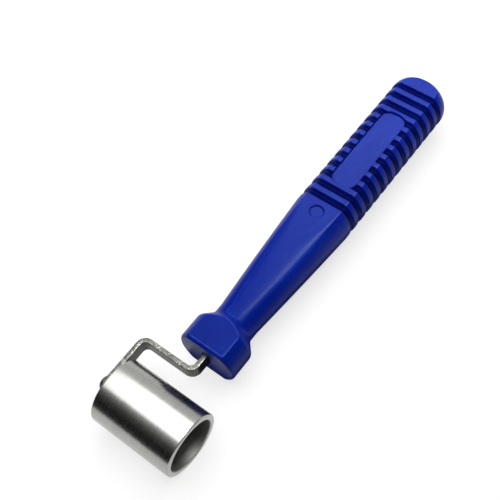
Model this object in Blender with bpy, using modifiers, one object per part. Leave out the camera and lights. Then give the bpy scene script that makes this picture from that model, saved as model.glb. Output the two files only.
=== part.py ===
"""Seam roller: a steel roller on two ball bearings, a bent flat steel arm and a moulded plastic handle.

Units are metres and +Z is up. The roller turns about an axis along X and the handle runs along +Y. The
tool lies on the ground plane z = 0, and the world origin is under the middle of its bounding box.
"""
import math

import bmesh
import bpy
from mathutils import Matrix, Vector

# Clearances
SEAT_GAP = 0.0003          # between a piece and what it seats on or is pressed into
RUNNING_GAP = 0.0002       # between a ball, cage or shield and the ring that moves past it

# Roller tube; its bore fits the bearings
ROLLER_WALL = 0.0022
ROLLER_LENGTH = 0.0330
ROLLER_EDGE_RADIUS = 0.0006
ROLLER_LIP_THICKNESS = 0.0012    # inward lip at the arm's end, which stops the first bearing
ROLLER_LIP_HEIGHT = 0.0018
BORE_CHAMFER = 0.0004

# Ball bearings, size 6 x 19 x 6 mm
BEARING_BORE = 0.0060
BEARING_OUTSIDE = 0.0190
BEARING_WIDTH = 0.0060
BEARING_SPACING = 0.0150         # first bearing's middle to the second's
BALL_DIAMETER = 0.0031
BALL_COUNT = 7
RACE_DEPTH = 0.00045             # how deep the ball's track is sunk into each ring's land
RING_CHAMFER = 0.0003
CAGE_HEIGHT = 0.0016             # the cage's wall, measured along the radius
CAGE_WEB = 0.0005
CAGE_PRONG_REACH = 0.0008        # how far the cage's prongs pass the balls' middle
SHIELD_THICKNESS = 0.0003
SHIELD_REBATE = 0.0010           # how far the shield's rim is let into the outer ring

# Axle and what it carries
AXLE_COLLAR_DIAMETER = 0.0084
AXLE_SHANK_DIAMETER = 0.0034     # the thin end that is riveted through the arm
AXLE_HEAD_DIAMETER = 0.0052
AXLE_HEAD_HEIGHT = 0.0011
AXLE_TIP_LENGTH = 0.0012
AXLE_TIP_CHAMFER = 0.0004
SPACER_WALL = 0.0013
WASHER_WALL = 0.0018
WASHER_THICKNESS = 0.0008
CLIP_THICKNESS = 0.0006
CLIP_WIDTH = 0.0022              # radial width of the retaining ring's arms
CLIP_GROOVE_DEPTH = 0.0008
CLIP_MOUTH_ANGLE = math.radians(74)
CLIP_LUG_ANGLE = math.radians(44)

# Arm: a flat strap bent on its flat side
ARM_THICKNESS = 0.0018
ARM_HEIGHT = 0.0060
ARM_BEND_RADIUS = 0.0020         # inside radius of each bend
ARM_SIDE = 0.0214                # handle axis to the middle of the side leg
ARM_CROSS_GAP = 0.0067           # cross leg's inner face to the roller's surface
ARM_NECK = 0.0070                # middle of the cross leg to the handle's front face
ARM_ROLLER_GAP = 0.0027          # side leg's inner face to the roller's end
ARM_EDGE_BREAK = 0.0002
TANG_LENGTH = 0.0330
TANG_TIP_CHAMFER = 0.0010
BARB_COUNT = 3
BARB_PITCH = 0.0060
BARB_DEPTH = 0.0006
BARB_LENGTH = 0.0024
TANG_SLOT_GAP = 0.0004
TANG_SLOT_EXTRA_DEPTH = 0.0012

# Handle; stations are measured from its front face
HANDLE_LENGTH = 0.1414
GUARD_DIAMETER = 0.0231
GUARD_LENGTH = 0.01025
GUARD_EDGE_RADIUS = 0.0012
GUARD_CORNER_RADIUS = 0.0027
GUARD_THICKNESS = 0.0178         # across the two flats
SHOULDER_LENGTH = 0.0040
NECK_DIAMETER = 0.0159
NECK_LENGTH = 0.0042
NECK_FILLET = 0.0030
NECK_THICKNESS = 0.0149
BODY_LENGTH = 0.0500
BODY_BULGE = 0.00015
GRIP_DIAMETER = 0.0232
GRIP_THICKNESS = 0.0180
TAIL_RADIUS = 0.0065
FLAT_START = 0.0012              # neck's start to the start of the body's flats
FLAT_STEP_RUN = 0.00025          # how far the step down to the body's flats leans
GROOVE_PITCH = 0.00504
GROOVE_WIDTH = 0.0027
GROOVE_DEPTH = 0.0017
GROOVE_PARTING_HEIGHT = 0.0004   # the grooves stop this far from the mould's parting plane
FIRST_GROOVE = 0.0036            # end of the body's taper to the first groove
TAIL_LAND = 0.0080               # at least this much from the last groove's middle to the tail's end
PANEL_WIDTH = 0.0102
PANEL_DEPTH = 0.0008
PANEL_CORNER_RADIUS = 0.0038
PANEL_FRONT_GROOVES = 2          # whole grooves in front of the panel
PANEL_TAIL_GROOVES = 3           # whole grooves behind it
PANEL_OVERRUN = 0.0008           # how far the panel runs on past those grooves' outer walls
EJECTOR_MARK_DIAMETER = 0.0052
EJECTOR_MARK_DEPTH = 0.00025
EJECTOR_MARK_SETBACK = 0.0065    # first groove's middle to the mark's middle

# Facets: how many a full turn or an arc gets
ROLLER_STEPS = 48
HANDLE_STEPS = 48
RING_STEPS = 28
CAGE_STEPS_PER_BALL = 4
POCKET_STEPS = 12
MARK_STEPS = 24
ARC_STEPS = 3                    # a small corner
HANDLE_ARC_STEPS = 5
CORNER_STEPS = 6                 # a bend of the arm, or a corner of the panel
EYE_STEPS = 10
BODY_STEPS = 6
GROOVE_STEPS = 4
CLIP_STEP_ANGLE = math.radians(12)

# How shapes are cut and joined
CUT_MARGIN = 0.0020              # how far a cutter passes what it cuts
PANEL_OVERLAP = 0.00005          # the grooves run this far into the panel, so no sliver stays between
WELD_DISTANCE = 0.000002
SMOOTH_ANGLE = math.radians(30)  # edges sharper than this stay crisp
BEVEL_ANGLE = math.radians(50)   # edges sharper than this are broken
EMPTY_SIZE = 0.01

# Finishes: base colour, roughness, metallic
FINISHES = {
    "blue_plastic": ((0.020, 0.040, 0.330), 0.38, 0.0),
    "turned_steel": ((0.62, 0.62, 0.60), 0.22, 1.0),
    "strap_steel": ((0.36, 0.36, 0.33), 0.38, 1.0),
    "bearing_steel": ((0.66, 0.66, 0.67), 0.15, 1.0),
    "shield_steel": ((0.50, 0.50, 0.50), 0.30, 1.0),
    "clip_steel": ((0.10, 0.10, 0.10), 0.40, 1.0),
    "cage_plastic": ((0.05, 0.05, 0.05), 0.50, 0.0),
}

# Sizes that follow
BORE_RADIUS = BEARING_OUTSIDE / 2 + SEAT_GAP
ROLLER_RADIUS = BORE_RADIUS + ROLLER_WALL
ARM_REACH = ROLLER_RADIUS + ARM_CROSS_GAP + ARM_THICKNESS / 2    # roller axis to the cross leg's middle
GUARD_RADIUS = GUARD_DIAMETER / 2
NECK_RADIUS = NECK_DIAMETER / 2
GRIP_RADIUS = GRIP_DIAMETER / 2
OVERALL_LENGTH = ROLLER_RADIUS + ARM_REACH + ARM_NECK + HANDLE_LENGTH
BALL_RADIUS = BALL_DIAMETER / 2
PITCH_RADIUS = (BEARING_BORE + BEARING_OUTSIDE) / 4
RACE_RADIUS = BALL_RADIUS + RUNNING_GAP
INNER_LAND = PITCH_RADIUS - RACE_RADIUS + RACE_DEPTH
OUTER_LAND = PITCH_RADIUS + RACE_RADIUS - RACE_DEPTH
AXLE_RADIUS = BEARING_BORE / 2 - SEAT_GAP

# Places along X, counted from the handle's axis
LEG_OUTER_FACE = -ARM_SIDE - ARM_THICKNESS / 2
LEG_INNER_FACE = -ARM_SIDE + ARM_THICKNESS / 2
HEAD_SEAT = LEG_OUTER_FACE - SEAT_GAP
HEAD_TOP = HEAD_SEAT - AXLE_HEAD_HEIGHT
ROLLER_ARM_END = LEG_INNER_FACE + ARM_ROLLER_GAP
ROLLER_OPEN_END = ROLLER_ARM_END + ROLLER_LENGTH
FIRST_BEARING = ROLLER_ARM_END + ROLLER_LIP_THICKNESS + SEAT_GAP + BEARING_WIDTH / 2
SECOND_BEARING = FIRST_BEARING + BEARING_SPACING
WASHER_START = SECOND_BEARING + BEARING_WIDTH / 2 + SEAT_GAP
CLIP_START = WASHER_START + WASHER_THICKNESS + SEAT_GAP
CLIP_END = CLIP_START + CLIP_THICKNESS
AXLE_TIP = CLIP_END + SEAT_GAP + AXLE_TIP_LENGTH

# World places
HANDLE_X = -(HEAD_TOP + ROLLER_OPEN_END) / 2
ROLLER_Y = -OVERALL_LENGTH / 2 + ROLLER_RADIUS
HANDLE_Y = ROLLER_Y + ARM_REACH + ARM_NECK
AXIS_Z = ROLLER_RADIUS

# Handle stations
NECK_START = GUARD_LENGTH + SHOULDER_LENGTH
NECK_END = NECK_START + NECK_LENGTH
BODY_END = NECK_END + BODY_LENGTH
GROOVED_LENGTH = HANDLE_LENGTH - TAIL_LAND - BODY_END - FIRST_GROOVE
GROOVE_COUNT = 1 + int(GROOVED_LENGTH / GROOVE_PITCH)
PANEL_FIRST_GROOVE = PANEL_FRONT_GROOVES + 1
PANEL_LAST_GROOVE = GROOVE_COUNT - PANEL_TAIL_GROOVES


def clear_scene():
    """Remove every object that the file holds."""
    for item in list(bpy.data.objects):
        bpy.data.objects.remove(item, do_unlink=True)


def new_collection(name):
    collection = bpy.data.collections.new(name)
    bpy.context.scene.collection.children.link(collection)
    return collection


def new_material(name):
    """A material with the finish of that name."""
    color, roughness, metallic = FINISHES[name]
    material = bpy.data.materials.new(name)
    material.use_nodes = True
    shader = material.node_tree.nodes["Principled BSDF"]
    shader.inputs["Base Color"].default_value = (*color, 1.0)
    shader.inputs["Roughness"].default_value = roughness
    shader.inputs["Metallic"].default_value = metallic
    return material


def add_empty(name, location):
    """A placing frame; it isn't part of the tool."""
    empty = bpy.data.objects.new(name, None)
    empty.location = location
    empty.empty_display_size = EMPTY_SIZE
    PARTS.objects.link(empty)
    return empty


def add_part(name, mesh, material, parent):
    part = bpy.data.objects.new(name, mesh)
    part.parent = parent
    part.data.materials.clear()
    part.data.materials.append(material)
    PARTS.objects.link(part)
    return part


def add_cutter(name, mesh, parent):
    """A shape that only cuts others."""
    cutter = bpy.data.objects.new(name, mesh)
    cutter.parent = parent
    cutter.hide_render = True
    cutter.display_type = "WIRE"
    CUTTERS.objects.link(cutter)
    return cutter


def boolean(target, operation, operand):
    step = target.modifiers.new(operation.lower() + "_" + operand.name, "BOOLEAN")
    step.operation = operation
    step.solver = "EXACT"
    step.object = operand
    return step


def cut_away(target, name, mesh, parent):
    """Take the mesh's shape out of the target."""
    boolean(target, "DIFFERENCE", add_cutter(name, mesh, parent))


def keep_inside(target, name, mesh, parent):
    """Keep only what the target shares with the mesh's shape."""
    boolean(target, "INTERSECT", add_cutter(name, mesh, parent))


def shade_round(mesh):
    mesh.shade_smooth()
    mesh.set_sharp_from_angle(angle=SMOOTH_ANGLE)


def arc(center, radius, start, end, steps):
    """Points on an arc, from the start angle to the end angle, both included."""
    points = []
    for i in range(steps + 1):
        angle = start + (end - start) * i / steps
        points.append((center[0] + radius * math.cos(angle), center[1] + radius * math.sin(angle)))
    return points


def rounded(corners, steps=ARC_STEPS):
    """An outline's points, where each corner (x, y, radius) with a radius becomes an arc.

    The first and last corners of an open outline have no radius. A closed outline repeats none.
    """
    points = []
    count = len(corners)
    for i, (x, y, radius) in enumerate(corners):
        if radius <= 0:
            points.append((x, y))
            continue
        here = Vector((x, y))
        back = (Vector(corners[i - 1][:2]) - here).normalized()
        ahead = (Vector(corners[(i + 1) % count][:2]) - here).normalized()
        half_angle = back.angle(ahead) / 2
        center = here + (back + ahead).normalized() * radius / math.sin(half_angle)
        first = here + back * radius / math.tan(half_angle) - center
        last = here + ahead * radius / math.tan(half_angle) - center
        start = math.atan2(first.y, first.x)
        turn = math.atan2(first.x * last.y - first.y * last.x, first.dot(last))
        points += arc(center, radius, start, start + turn, steps)
    return points


def wire_mesh(name, points, closed):
    mesh = bpy.data.meshes.new(name)
    edges = [(i, i + 1) for i in range(len(points) - 1)]
    if closed:
        edges.append((len(points) - 1, 0))
    mesh.from_pydata(points, edges, [])
    return mesh


def turned(name, profile, axis, steps, material, parent, closed=False):
    """A piece turned on a lathe about X or Y.

    The profile is a list of (station, radius), down the outer side from the high station to the low one.
    """
    if axis == "X":
        points = [(station, radius, 0.0) for station, radius in profile]
    else:
        points = [(0.0, station, radius) for station, radius in profile]
    part = add_part(name, wire_mesh(name, points, closed), material, parent)
    add_screw(part, axis, steps)
    return part


def add_screw(part, axis, steps):
    screw = part.modifiers.new("turn", "SCREW")
    screw.axis = axis
    screw.steps = steps
    screw.render_steps = steps
    screw.angle = math.tau
    screw.use_merge_vertices = True
    screw.merge_threshold = WELD_DISTANCE
    screw.use_smooth_shade = True
    return screw


def evaluated_mesh(item, name):
    """The item's finished mesh, welded, with its faces pointing out."""
    depsgraph = bpy.context.evaluated_depsgraph_get()
    mesh = bpy.data.meshes.new_from_object(item.evaluated_get(depsgraph))
    mesh.name = name
    work = bmesh.new()
    work.from_mesh(mesh)
    bmesh.ops.remove_doubles(work, verts=work.verts, dist=WELD_DISTANCE)
    bmesh.ops.recalc_face_normals(work, faces=work.faces)
    work.to_mesh(mesh)
    work.free()
    return mesh


def prism_mesh(name, outlines, plane, middle, thickness):
    """A mesh of flat outlines, each given thickness across their plane, centred on the middle."""
    curve = bpy.data.curves.new(name, "CURVE")
    curve.dimensions = "2D"
    curve.fill_mode = "BOTH"
    curve.extrude = thickness / 2
    for outline in outlines:
        spline = curve.splines.new("POLY")
        spline.points.add(len(outline) - 1)
        for point, (u, v) in zip(spline.points, outline):
            point.co = (u, v, 0.0, 1.0)
        spline.use_cyclic_u = True
    sketch = bpy.data.objects.new(name, curve)
    bpy.context.scene.collection.objects.link(sketch)
    mesh = evaluated_mesh(sketch, name)
    bpy.data.objects.remove(sketch)
    bpy.data.curves.remove(curve)
    mesh.transform(Matrix.Translation((0.0, 0.0, middle)))
    mesh.transform(PLANES[plane])
    shade_round(mesh)
    return mesh


# A sketch's own axes u, v and across are sent to the world axes that its plane names.
PLANES = {
    "XY": Matrix.Identity(4),
    "YZ": Matrix(((0, 0, 1, 0), (1, 0, 0, 0), (0, 1, 0, 0), (0, 0, 0, 1))),
    "ZX": Matrix(((0, 1, 0, 0), (0, 0, 1, 0), (1, 0, 0, 0), (0, 0, 0, 1))),
}


def cylinders_mesh(name, radius, depth, steps, places):
    """One mesh of equal cylinders along their own Z, one at each place."""
    work = bmesh.new()
    for place in places:
        bmesh.ops.create_cone(work, cap_ends=True, segments=steps, radius1=radius, radius2=radius,
                              depth=depth, matrix=place)
    mesh = bpy.data.meshes.new(name)
    work.to_mesh(mesh)
    work.free()
    return mesh


def joined_mesh(name, pieces):
    """One mesh that holds all the pieces, which are used up."""
    work = bmesh.new()
    for piece in pieces:
        work.from_mesh(piece)
        bpy.data.meshes.remove(piece)
    mesh = bpy.data.meshes.new(name)
    work.to_mesh(mesh)
    work.free()
    return mesh


def ring_profile(low, high, inner, outer, chamfer=0.0):
    """A closed profile of a plain ring, its outer corners chamfered where a chamfer is given."""
    if chamfer <= 0:
        return [(high, inner), (high, outer), (low, outer), (low, inner)]
    return [
        (high, inner),
        (high, outer - chamfer),
        (high - chamfer, outer),
        (low + chamfer, outer),
        (low, outer - chamfer),
        (low, inner),
    ]


def build_roller(material, parent):
    """The steel tube, with an inward lip at the arm's end and an open, chamfered mouth."""
    low = ROLLER_ARM_END
    high = ROLLER_OPEN_END
    lip_radius = BORE_RADIUS - ROLLER_LIP_HEIGHT
    edge = ROLLER_EDGE_RADIUS
    profile = rounded([
        (high - BORE_CHAMFER, BORE_RADIUS, 0),
        (high, BORE_RADIUS + BORE_CHAMFER, 0),
        (high, ROLLER_RADIUS, edge),
        (low, ROLLER_RADIUS, edge),
        (low, lip_radius, 0),
        (low + ROLLER_LIP_THICKNESS, lip_radius, 0),
        (low + ROLLER_LIP_THICKNESS, BORE_RADIUS, 0),
    ])
    return turned("roller", profile, "X", ROLLER_STEPS, material, parent, closed=True)


def build_axle(material, parent):
    """The turned pin: peened head, riveted shank, collar, journal with a clip groove, and tip."""
    collar_start = LEG_INNER_FACE + SEAT_GAP
    collar_end = FIRST_BEARING - BEARING_WIDTH / 2 - SEAT_GAP
    collar = AXLE_COLLAR_DIAMETER / 2
    shank = AXLE_SHANK_DIAMETER / 2
    head = AXLE_HEAD_DIAMETER / 2
    groove = AXLE_RADIUS - CLIP_GROOVE_DEPTH
    dome_radius = (head ** 2 + AXLE_HEAD_HEIGHT ** 2) / (2 * AXLE_HEAD_HEIGHT)
    dome_angle = math.asin(head / dome_radius)
    dome_center = (HEAD_TOP + dome_radius, 0.0)
    profile = [
        (AXLE_TIP, 0.0),
        (AXLE_TIP, AXLE_RADIUS - AXLE_TIP_CHAMFER),
        (AXLE_TIP - AXLE_TIP_CHAMFER, AXLE_RADIUS),
        (CLIP_END + SEAT_GAP, AXLE_RADIUS),
        (CLIP_END + SEAT_GAP, groove),
        (CLIP_START - SEAT_GAP, groove),
        (CLIP_START - SEAT_GAP, AXLE_RADIUS),
        (collar_end, AXLE_RADIUS),
        (collar_end, collar),
        (collar_start, collar),
        (collar_start, shank),
        (HEAD_SEAT, shank),
    ]
    profile += arc(dome_center, dome_radius, math.pi - dome_angle, math.pi, ARC_STEPS)
    return turned("axle", profile, "X", RING_STEPS, material, parent)


def race(land, side):
    """The ball track's points, from the high station to the low one; side is -1 on the inner ring."""
    half_angle = side * math.acos(abs(land - PITCH_RADIUS) / RACE_RADIUS)
    middle = side * math.pi / 2
    return arc((0.0, PITCH_RADIUS), RACE_RADIUS, middle - half_angle, middle + half_angle, ARC_STEPS)


def build_inner_ring(name, material, parent):
    half = BEARING_WIDTH / 2
    bore = BEARING_BORE / 2
    profile = [(half, bore), (half, INNER_LAND - RING_CHAMFER), (half - RING_CHAMFER, INNER_LAND)]
    profile += race(INNER_LAND, -1)
    profile += [(-half + RING_CHAMFER, INNER_LAND), (-half, INNER_LAND - RING_CHAMFER), (-half, bore)]
    return turned(name, profile, "X", RING_STEPS, material, parent, closed=True)


def build_outer_ring(name, material, parent):
    """The outer ring, with a rebate at each face that takes a shield."""
    half = BEARING_WIDTH / 2
    outside = BEARING_OUTSIDE / 2
    rebate = OUTER_LAND + SHIELD_REBATE
    rebate_floor = half - SHIELD_THICKNESS - 2 * RUNNING_GAP
    profile = [
        (half, rebate),
        (half, outside - RING_CHAMFER),
        (half - RING_CHAMFER, outside),
        (-half + RING_CHAMFER, outside),
        (-half, outside - RING_CHAMFER),
        (-half, rebate),
        (-rebate_floor, rebate),
        (-rebate_floor, OUTER_LAND),
    ]
    profile += reversed(race(OUTER_LAND, 1))
    profile += [(rebate_floor, OUTER_LAND), (rebate_floor, rebate)]
    return turned(name, profile, "X", RING_STEPS, material, parent, closed=True)


def build_shield(name, side, material, parent):
    """The pressed steel shield that closes one face of a bearing; side is +1 or -1 along X."""
    outer_face = BEARING_WIDTH / 2 - RUNNING_GAP
    inner_face = outer_face - SHIELD_THICKNESS
    low, high = sorted((side * inner_face, side * outer_face))
    profile = ring_profile(low, high, INNER_LAND + RUNNING_GAP, OUTER_LAND + SHIELD_REBATE - RUNNING_GAP)
    return turned(name, profile, "X", RING_STEPS, material, parent, closed=True)


def build_cage(name, material, parent):
    """The crown cage: a ring whose pockets, cut along the radius, are open towards +X."""
    pocket = BALL_RADIUS + RUNNING_GAP
    low = -pocket - CAGE_WEB
    inner = PITCH_RADIUS - CAGE_HEIGHT / 2
    outer = PITCH_RADIUS + CAGE_HEIGHT / 2
    profile = ring_profile(low, CAGE_PRONG_REACH, inner, outer)
    steps = BALL_COUNT * CAGE_STEPS_PER_BALL
    cage = turned(name, profile, "X", steps, material, parent, closed=True)
    outward = Matrix.Translation((0.0, 0.0, PITCH_RADIUS))
    places = [Matrix.Rotation(math.tau * i / BALL_COUNT, 4, "X") @ outward for i in range(BALL_COUNT)]
    pockets = cylinders_mesh(name + "_pockets", pocket, 2 * CAGE_HEIGHT, POCKET_STEPS, places)
    cut_away(cage, name + "_pockets", pockets, parent)
    return cage


def ball_mesh():
    """The steel ball that all the balls share."""
    mesh = bpy.data.meshes.new("ball")
    work = bmesh.new()
    bmesh.ops.create_icosphere(work, subdivisions=2, radius=BALL_RADIUS)
    work.to_mesh(mesh)
    work.free()
    mesh.shade_smooth()
    return mesh


def build_balls(prefix, mesh, material, parent):
    """The balls of one bearing, shared out evenly on the pitch circle."""
    for i in range(BALL_COUNT):
        angle = math.tau * i / BALL_COUNT
        ball = add_part(f"{prefix}_ball_{i + 1}", mesh, material, parent)
        ball.location = (0.0, -PITCH_RADIUS * math.sin(angle), PITCH_RADIUS * math.cos(angle))


def build_spacer(material, parent):
    low = FIRST_BEARING + BEARING_WIDTH / 2 + SEAT_GAP
    high = SECOND_BEARING - BEARING_WIDTH / 2 - SEAT_GAP
    inner = BEARING_BORE / 2
    profile = ring_profile(low, high, inner, inner + SPACER_WALL, RING_CHAMFER)
    return turned("spacer_sleeve", profile, "X", RING_STEPS, material, parent, closed=True)


def build_washer(material, parent):
    inner = BEARING_BORE / 2
    profile = ring_profile(WASHER_START, WASHER_START + WASHER_THICKNESS, inner, inner + WASHER_WALL)
    return turned("thrust_washer", profile, "X", RING_STEPS, material, parent, closed=True)


def clip_arc(radius, start, end):
    steps = max(1, round(abs(end - start) / CLIP_STEP_ANGLE))
    return arc((0.0, 0.0), radius, start, end, steps)


def build_clip(material, parent):
    """The retaining ring: an open ring whose two arms and back lug reach into the axle's groove."""
    seat = AXLE_RADIUS - CLIP_GROOVE_DEPTH + SEAT_GAP
    relief = AXLE_RADIUS + SEAT_GAP
    outer = seat + CLIP_WIDTH
    mouth = CLIP_MOUTH_ANGLE / 2
    arm_root = mouth + CLIP_LUG_ANGLE
    half_lug = CLIP_LUG_ANGLE / 2
    outline = clip_arc(outer, mouth, math.tau - mouth)
    outline += clip_arc(seat, math.tau - mouth, math.tau - arm_root)
    outline += clip_arc(relief, math.tau - arm_root, math.pi + half_lug)
    outline += clip_arc(seat, math.pi + half_lug, math.pi - half_lug)
    outline += clip_arc(relief, math.pi - half_lug, arm_root)
    outline += clip_arc(seat, arm_root, mouth)
    middle = (CLIP_START + CLIP_END) / 2
    mesh = prism_mesh("e_clip", [outline], "YZ", middle, CLIP_THICKNESS)
    return add_part("e_clip", mesh, material, parent)


def offset_strap(points, side):
    """Corners of one edge of the strap: the centre line moved sideways, with a radius at each bend."""
    half = ARM_THICKNESS / 2
    last = len(points) - 1
    corners = []
    for i, point in enumerate(points):
        here = Vector(point)
        back = here - Vector(points[max(i - 1, 0)])
        ahead = Vector(points[min(i + 1, last)]) - here
        arriving = (back if i > 0 else ahead).normalized()
        leaving = (ahead if i < last else back).normalized()
        left = Vector((-arriving.y, arriving.x))
        normal = (left + Vector((-leaving.y, leaving.x))).normalized()
        moved = here + normal * side * half / normal.dot(left)
        radius = 0.0
        if 0 < i < last:
            turns_left = arriving.cross(leaving) * side > 0
            radius = ARM_BEND_RADIUS if turns_left else ARM_BEND_RADIUS + ARM_THICKNESS
        corners.append((moved.x, moved.y, radius))
    return corners


def arm_plan(tip_y):
    """The strap's outline seen from above: tang, cross leg and side leg, past both ends."""
    end_y = -ARM_HEIGHT / 2 - CUT_MARGIN
    line = [(0.0, tip_y), (0.0, ARM_REACH), (-ARM_SIDE, ARM_REACH), (-ARM_SIDE, end_y)]
    corners = offset_strap(line, 1) + offset_strap(line, -1)[::-1]
    return rounded(corners, CORNER_STEPS)


def arm_side_outline(tip_y):
    """The strap seen from its side: a round eye at the axle and a barbed, chamfered tang."""
    half = ARM_HEIGHT / 2
    first_barb = tip_y - TANG_TIP_CHAMFER - BARB_COUNT * BARB_PITCH
    edge = []
    for i in range(BARB_COUNT):
        start = first_barb + i * BARB_PITCH
        edge += [(start, half), (start, half - BARB_DEPTH), (start + BARB_LENGTH, half)]
    edge += [(tip_y - TANG_TIP_CHAMFER, half), (tip_y, half - TANG_TIP_CHAMFER)]
    eye = arc((0.0, 0.0), half, 1.5 * math.pi, 0.5 * math.pi, EYE_STEPS)
    return eye + edge + [(y, -z) for y, z in reversed(edge)]


def build_arm(material, parent):
    """The bent strap: its plan gives the bends, its side outline gives the eye, edges and barbs."""
    tip_y = ARM_REACH + ARM_NECK + TANG_LENGTH
    plan = prism_mesh("arm", [arm_plan(tip_y + CUT_MARGIN)], "XY", 0.0, ARM_HEIGHT + 2 * CUT_MARGIN)
    arm = add_part("arm", plan, material, parent)
    width = ARM_SIDE + ARM_THICKNESS + 2 * CUT_MARGIN
    side = prism_mesh("arm_side", [arm_side_outline(tip_y)], "YZ", -ARM_SIDE / 2, width)
    keep_inside(arm, "arm_side", side, parent)
    eye_radius = AXLE_SHANK_DIAMETER / 2 + SEAT_GAP
    across = Matrix.Translation((-ARM_SIDE, 0.0, 0.0)) @ Matrix.Rotation(math.pi / 2, 4, "Y")
    eye = cylinders_mesh("arm_eye", eye_radius, ARM_THICKNESS + 2 * CUT_MARGIN, RING_STEPS, [across])
    cut_away(arm, "arm_eye", eye, parent)
    edge = arm.modifiers.new("edge_break", "BEVEL")
    edge.width = ARM_EDGE_BREAK
    edge.segments = 1
    edge.limit_method = "ANGLE"
    edge.angle_limit = BEVEL_ANGLE
    return arm


def handle_profile():
    """The handle's turned shape as (station, radius), from the tail's pole to the front face's middle."""
    body = []
    for i in range(BODY_STEPS + 1):
        t = i / BODY_STEPS
        radius = NECK_RADIUS + (GRIP_RADIUS - NECK_RADIUS) * t + 4 * BODY_BULGE * t * (1 - t)
        body.append((NECK_END + BODY_LENGTH * t, radius, 0))
    corners = [
        (HANDLE_LENGTH, 0.0, 0),
        (HANDLE_LENGTH, GRIP_RADIUS, TAIL_RADIUS),
        *reversed(body),
        (NECK_START, NECK_RADIUS, NECK_FILLET),
        (GUARD_LENGTH, GUARD_RADIUS, GUARD_CORNER_RADIUS),
        (0.0, GUARD_RADIUS, GUARD_EDGE_RADIUS),
        (0.0, 0.0, 0),
    ]
    return rounded(corners, HANDLE_ARC_STEPS)


def flat_height(station):
    """Height of the handle's top flat above its axis."""
    low = NECK_THICKNESS / 2
    high = GRIP_THICKNESS / 2
    share = min(max((station - NECK_START) / (BODY_END - NECK_START), 0.0), 1.0)
    return low + (high - low) * share


def flats_outline():
    """The handle seen from its side: what stays between the upper and lower flats.

    The guard's flats round over into its front face, as its round sides do.
    """
    guard = GUARD_THICKNESS / 2
    start = NECK_START + FLAT_START
    edge = GUARD_EDGE_RADIUS
    front = arc((edge, guard - edge), edge, math.pi, 0.5 * math.pi, HANDLE_ARC_STEPS)
    upper = [
        (-CUT_MARGIN, guard - edge),
        *front,
        (start - FLAT_STEP_RUN, guard),
        (start, flat_height(start)),
        (BODY_END, flat_height(BODY_END)),
        (HANDLE_LENGTH + CUT_MARGIN, flat_height(BODY_END)),
    ]
    return upper + [(y, -z) for y, z in reversed(upper)]


def groove_station(number):
    """Middle of a groove, numbered from 1 at the front."""
    return BODY_END + FIRST_GROOVE + (number - 1) * GROOVE_PITCH


def groove_outline(side):
    """One groove's cut across the handle, above (+1) or below (-1) the parting plane.

    Its floor is the grip's own outline moved in by the groove's depth, so it runs out at the sides.
    """
    half_flat = math.sqrt(GRIP_RADIUS ** 2 - (GRIP_THICKNESS / 2) ** 2)
    start = math.atan2(GRIP_THICKNESS / 2, half_flat)
    stop = math.asin((GROOVE_PARTING_HEIGHT + GROOVE_DEPTH) / GRIP_RADIUS)
    crest = arc((0.0, 0.0), GRIP_RADIUS, start, stop, GROOVE_STEPS)
    floor = [(x, z - GROOVE_DEPTH) for x, z in crest]
    reach = GRIP_RADIUS + CUT_MARGIN
    half = floor + [(reach, GROOVE_PARTING_HEIGHT), (reach, reach)]
    outline = half + [(-x, z) for x, z in reversed(half)]
    return [(side * z, x) for x, z in outline]


def panel_outline(inset):
    """The smooth panel between the grooves, seen from above, as (x, station)."""
    half = PANEL_WIDTH / 2 - inset
    overrun = GROOVE_WIDTH / 2 + PANEL_OVERRUN - inset
    front = groove_station(PANEL_FIRST_GROOVE) - overrun
    back = groove_station(PANEL_LAST_GROOVE) + overrun
    radius = PANEL_CORNER_RADIUS - inset
    corners = [(half, front, radius), (half, back, radius), (-half, back, radius), (-half, front, radius)]
    return rounded(corners, CORNER_STEPS)


def grooves_cutter(parent):
    """All grooves of both halves in one cutter, which leaves the two panels standing."""
    slabs = []
    for number in range(1, GROOVE_COUNT + 1):
        for side in (1, -1):
            outline = groove_outline(side)
            slabs.append(prism_mesh("groove", [outline], "ZX", groove_station(number), GROOVE_WIDTH))
    cutter = add_cutter("grooves", joined_mesh("grooves", slabs), parent)
    thickness = 2 * (GRIP_RADIUS + 2 * CUT_MARGIN)
    block = prism_mesh("panel_block", [panel_outline(PANEL_OVERLAP)], "XY", 0.0, thickness)
    cut_away(cutter, "panel_block", block, parent)
    return cutter


def panels_mesh():
    """The two shallow pockets whose floors are the smooth panels."""
    pockets = []
    for side in (1, -1):
        middle = side * (GRIP_THICKNESS / 2 - PANEL_DEPTH + CUT_MARGIN)
        pockets.append(prism_mesh("pocket", [panel_outline(0.0)], "XY", middle, 2 * CUT_MARGIN))
    return joined_mesh("panels", pockets)


def ejector_mark_mesh():
    """A shallow round recess left by a mould's ejector pin in the top flat."""
    station = groove_station(1) - EJECTOR_MARK_SETBACK
    slope = math.atan2(flat_height(BODY_END) - flat_height(NECK_START), BODY_END - NECK_START)
    depth = 2 * CUT_MARGIN
    place = Matrix.Translation((0.0, station, flat_height(station)))
    place = place @ Matrix.Rotation(slope, 4, "X")
    place = place @ Matrix.Translation((0.0, 0.0, depth / 2 - EJECTOR_MARK_DEPTH))
    return cylinders_mesh("ejector_mark", EJECTOR_MARK_DIAMETER / 2, depth, MARK_STEPS, [place])


def tang_slot_mesh():
    """The blind slot in the front face that takes the arm's tang."""
    half_width = ARM_THICKNESS / 2 + TANG_SLOT_GAP
    half_height = ARM_HEIGHT / 2 + TANG_SLOT_GAP
    depth = TANG_LENGTH + TANG_SLOT_EXTRA_DEPTH
    section = [
        (half_width, -CUT_MARGIN),
        (half_width, depth),
        (-half_width, depth),
        (-half_width, -CUT_MARGIN),
    ]
    return prism_mesh("tang_slot", [section], "XY", 0.0, 2 * half_height)


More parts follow.
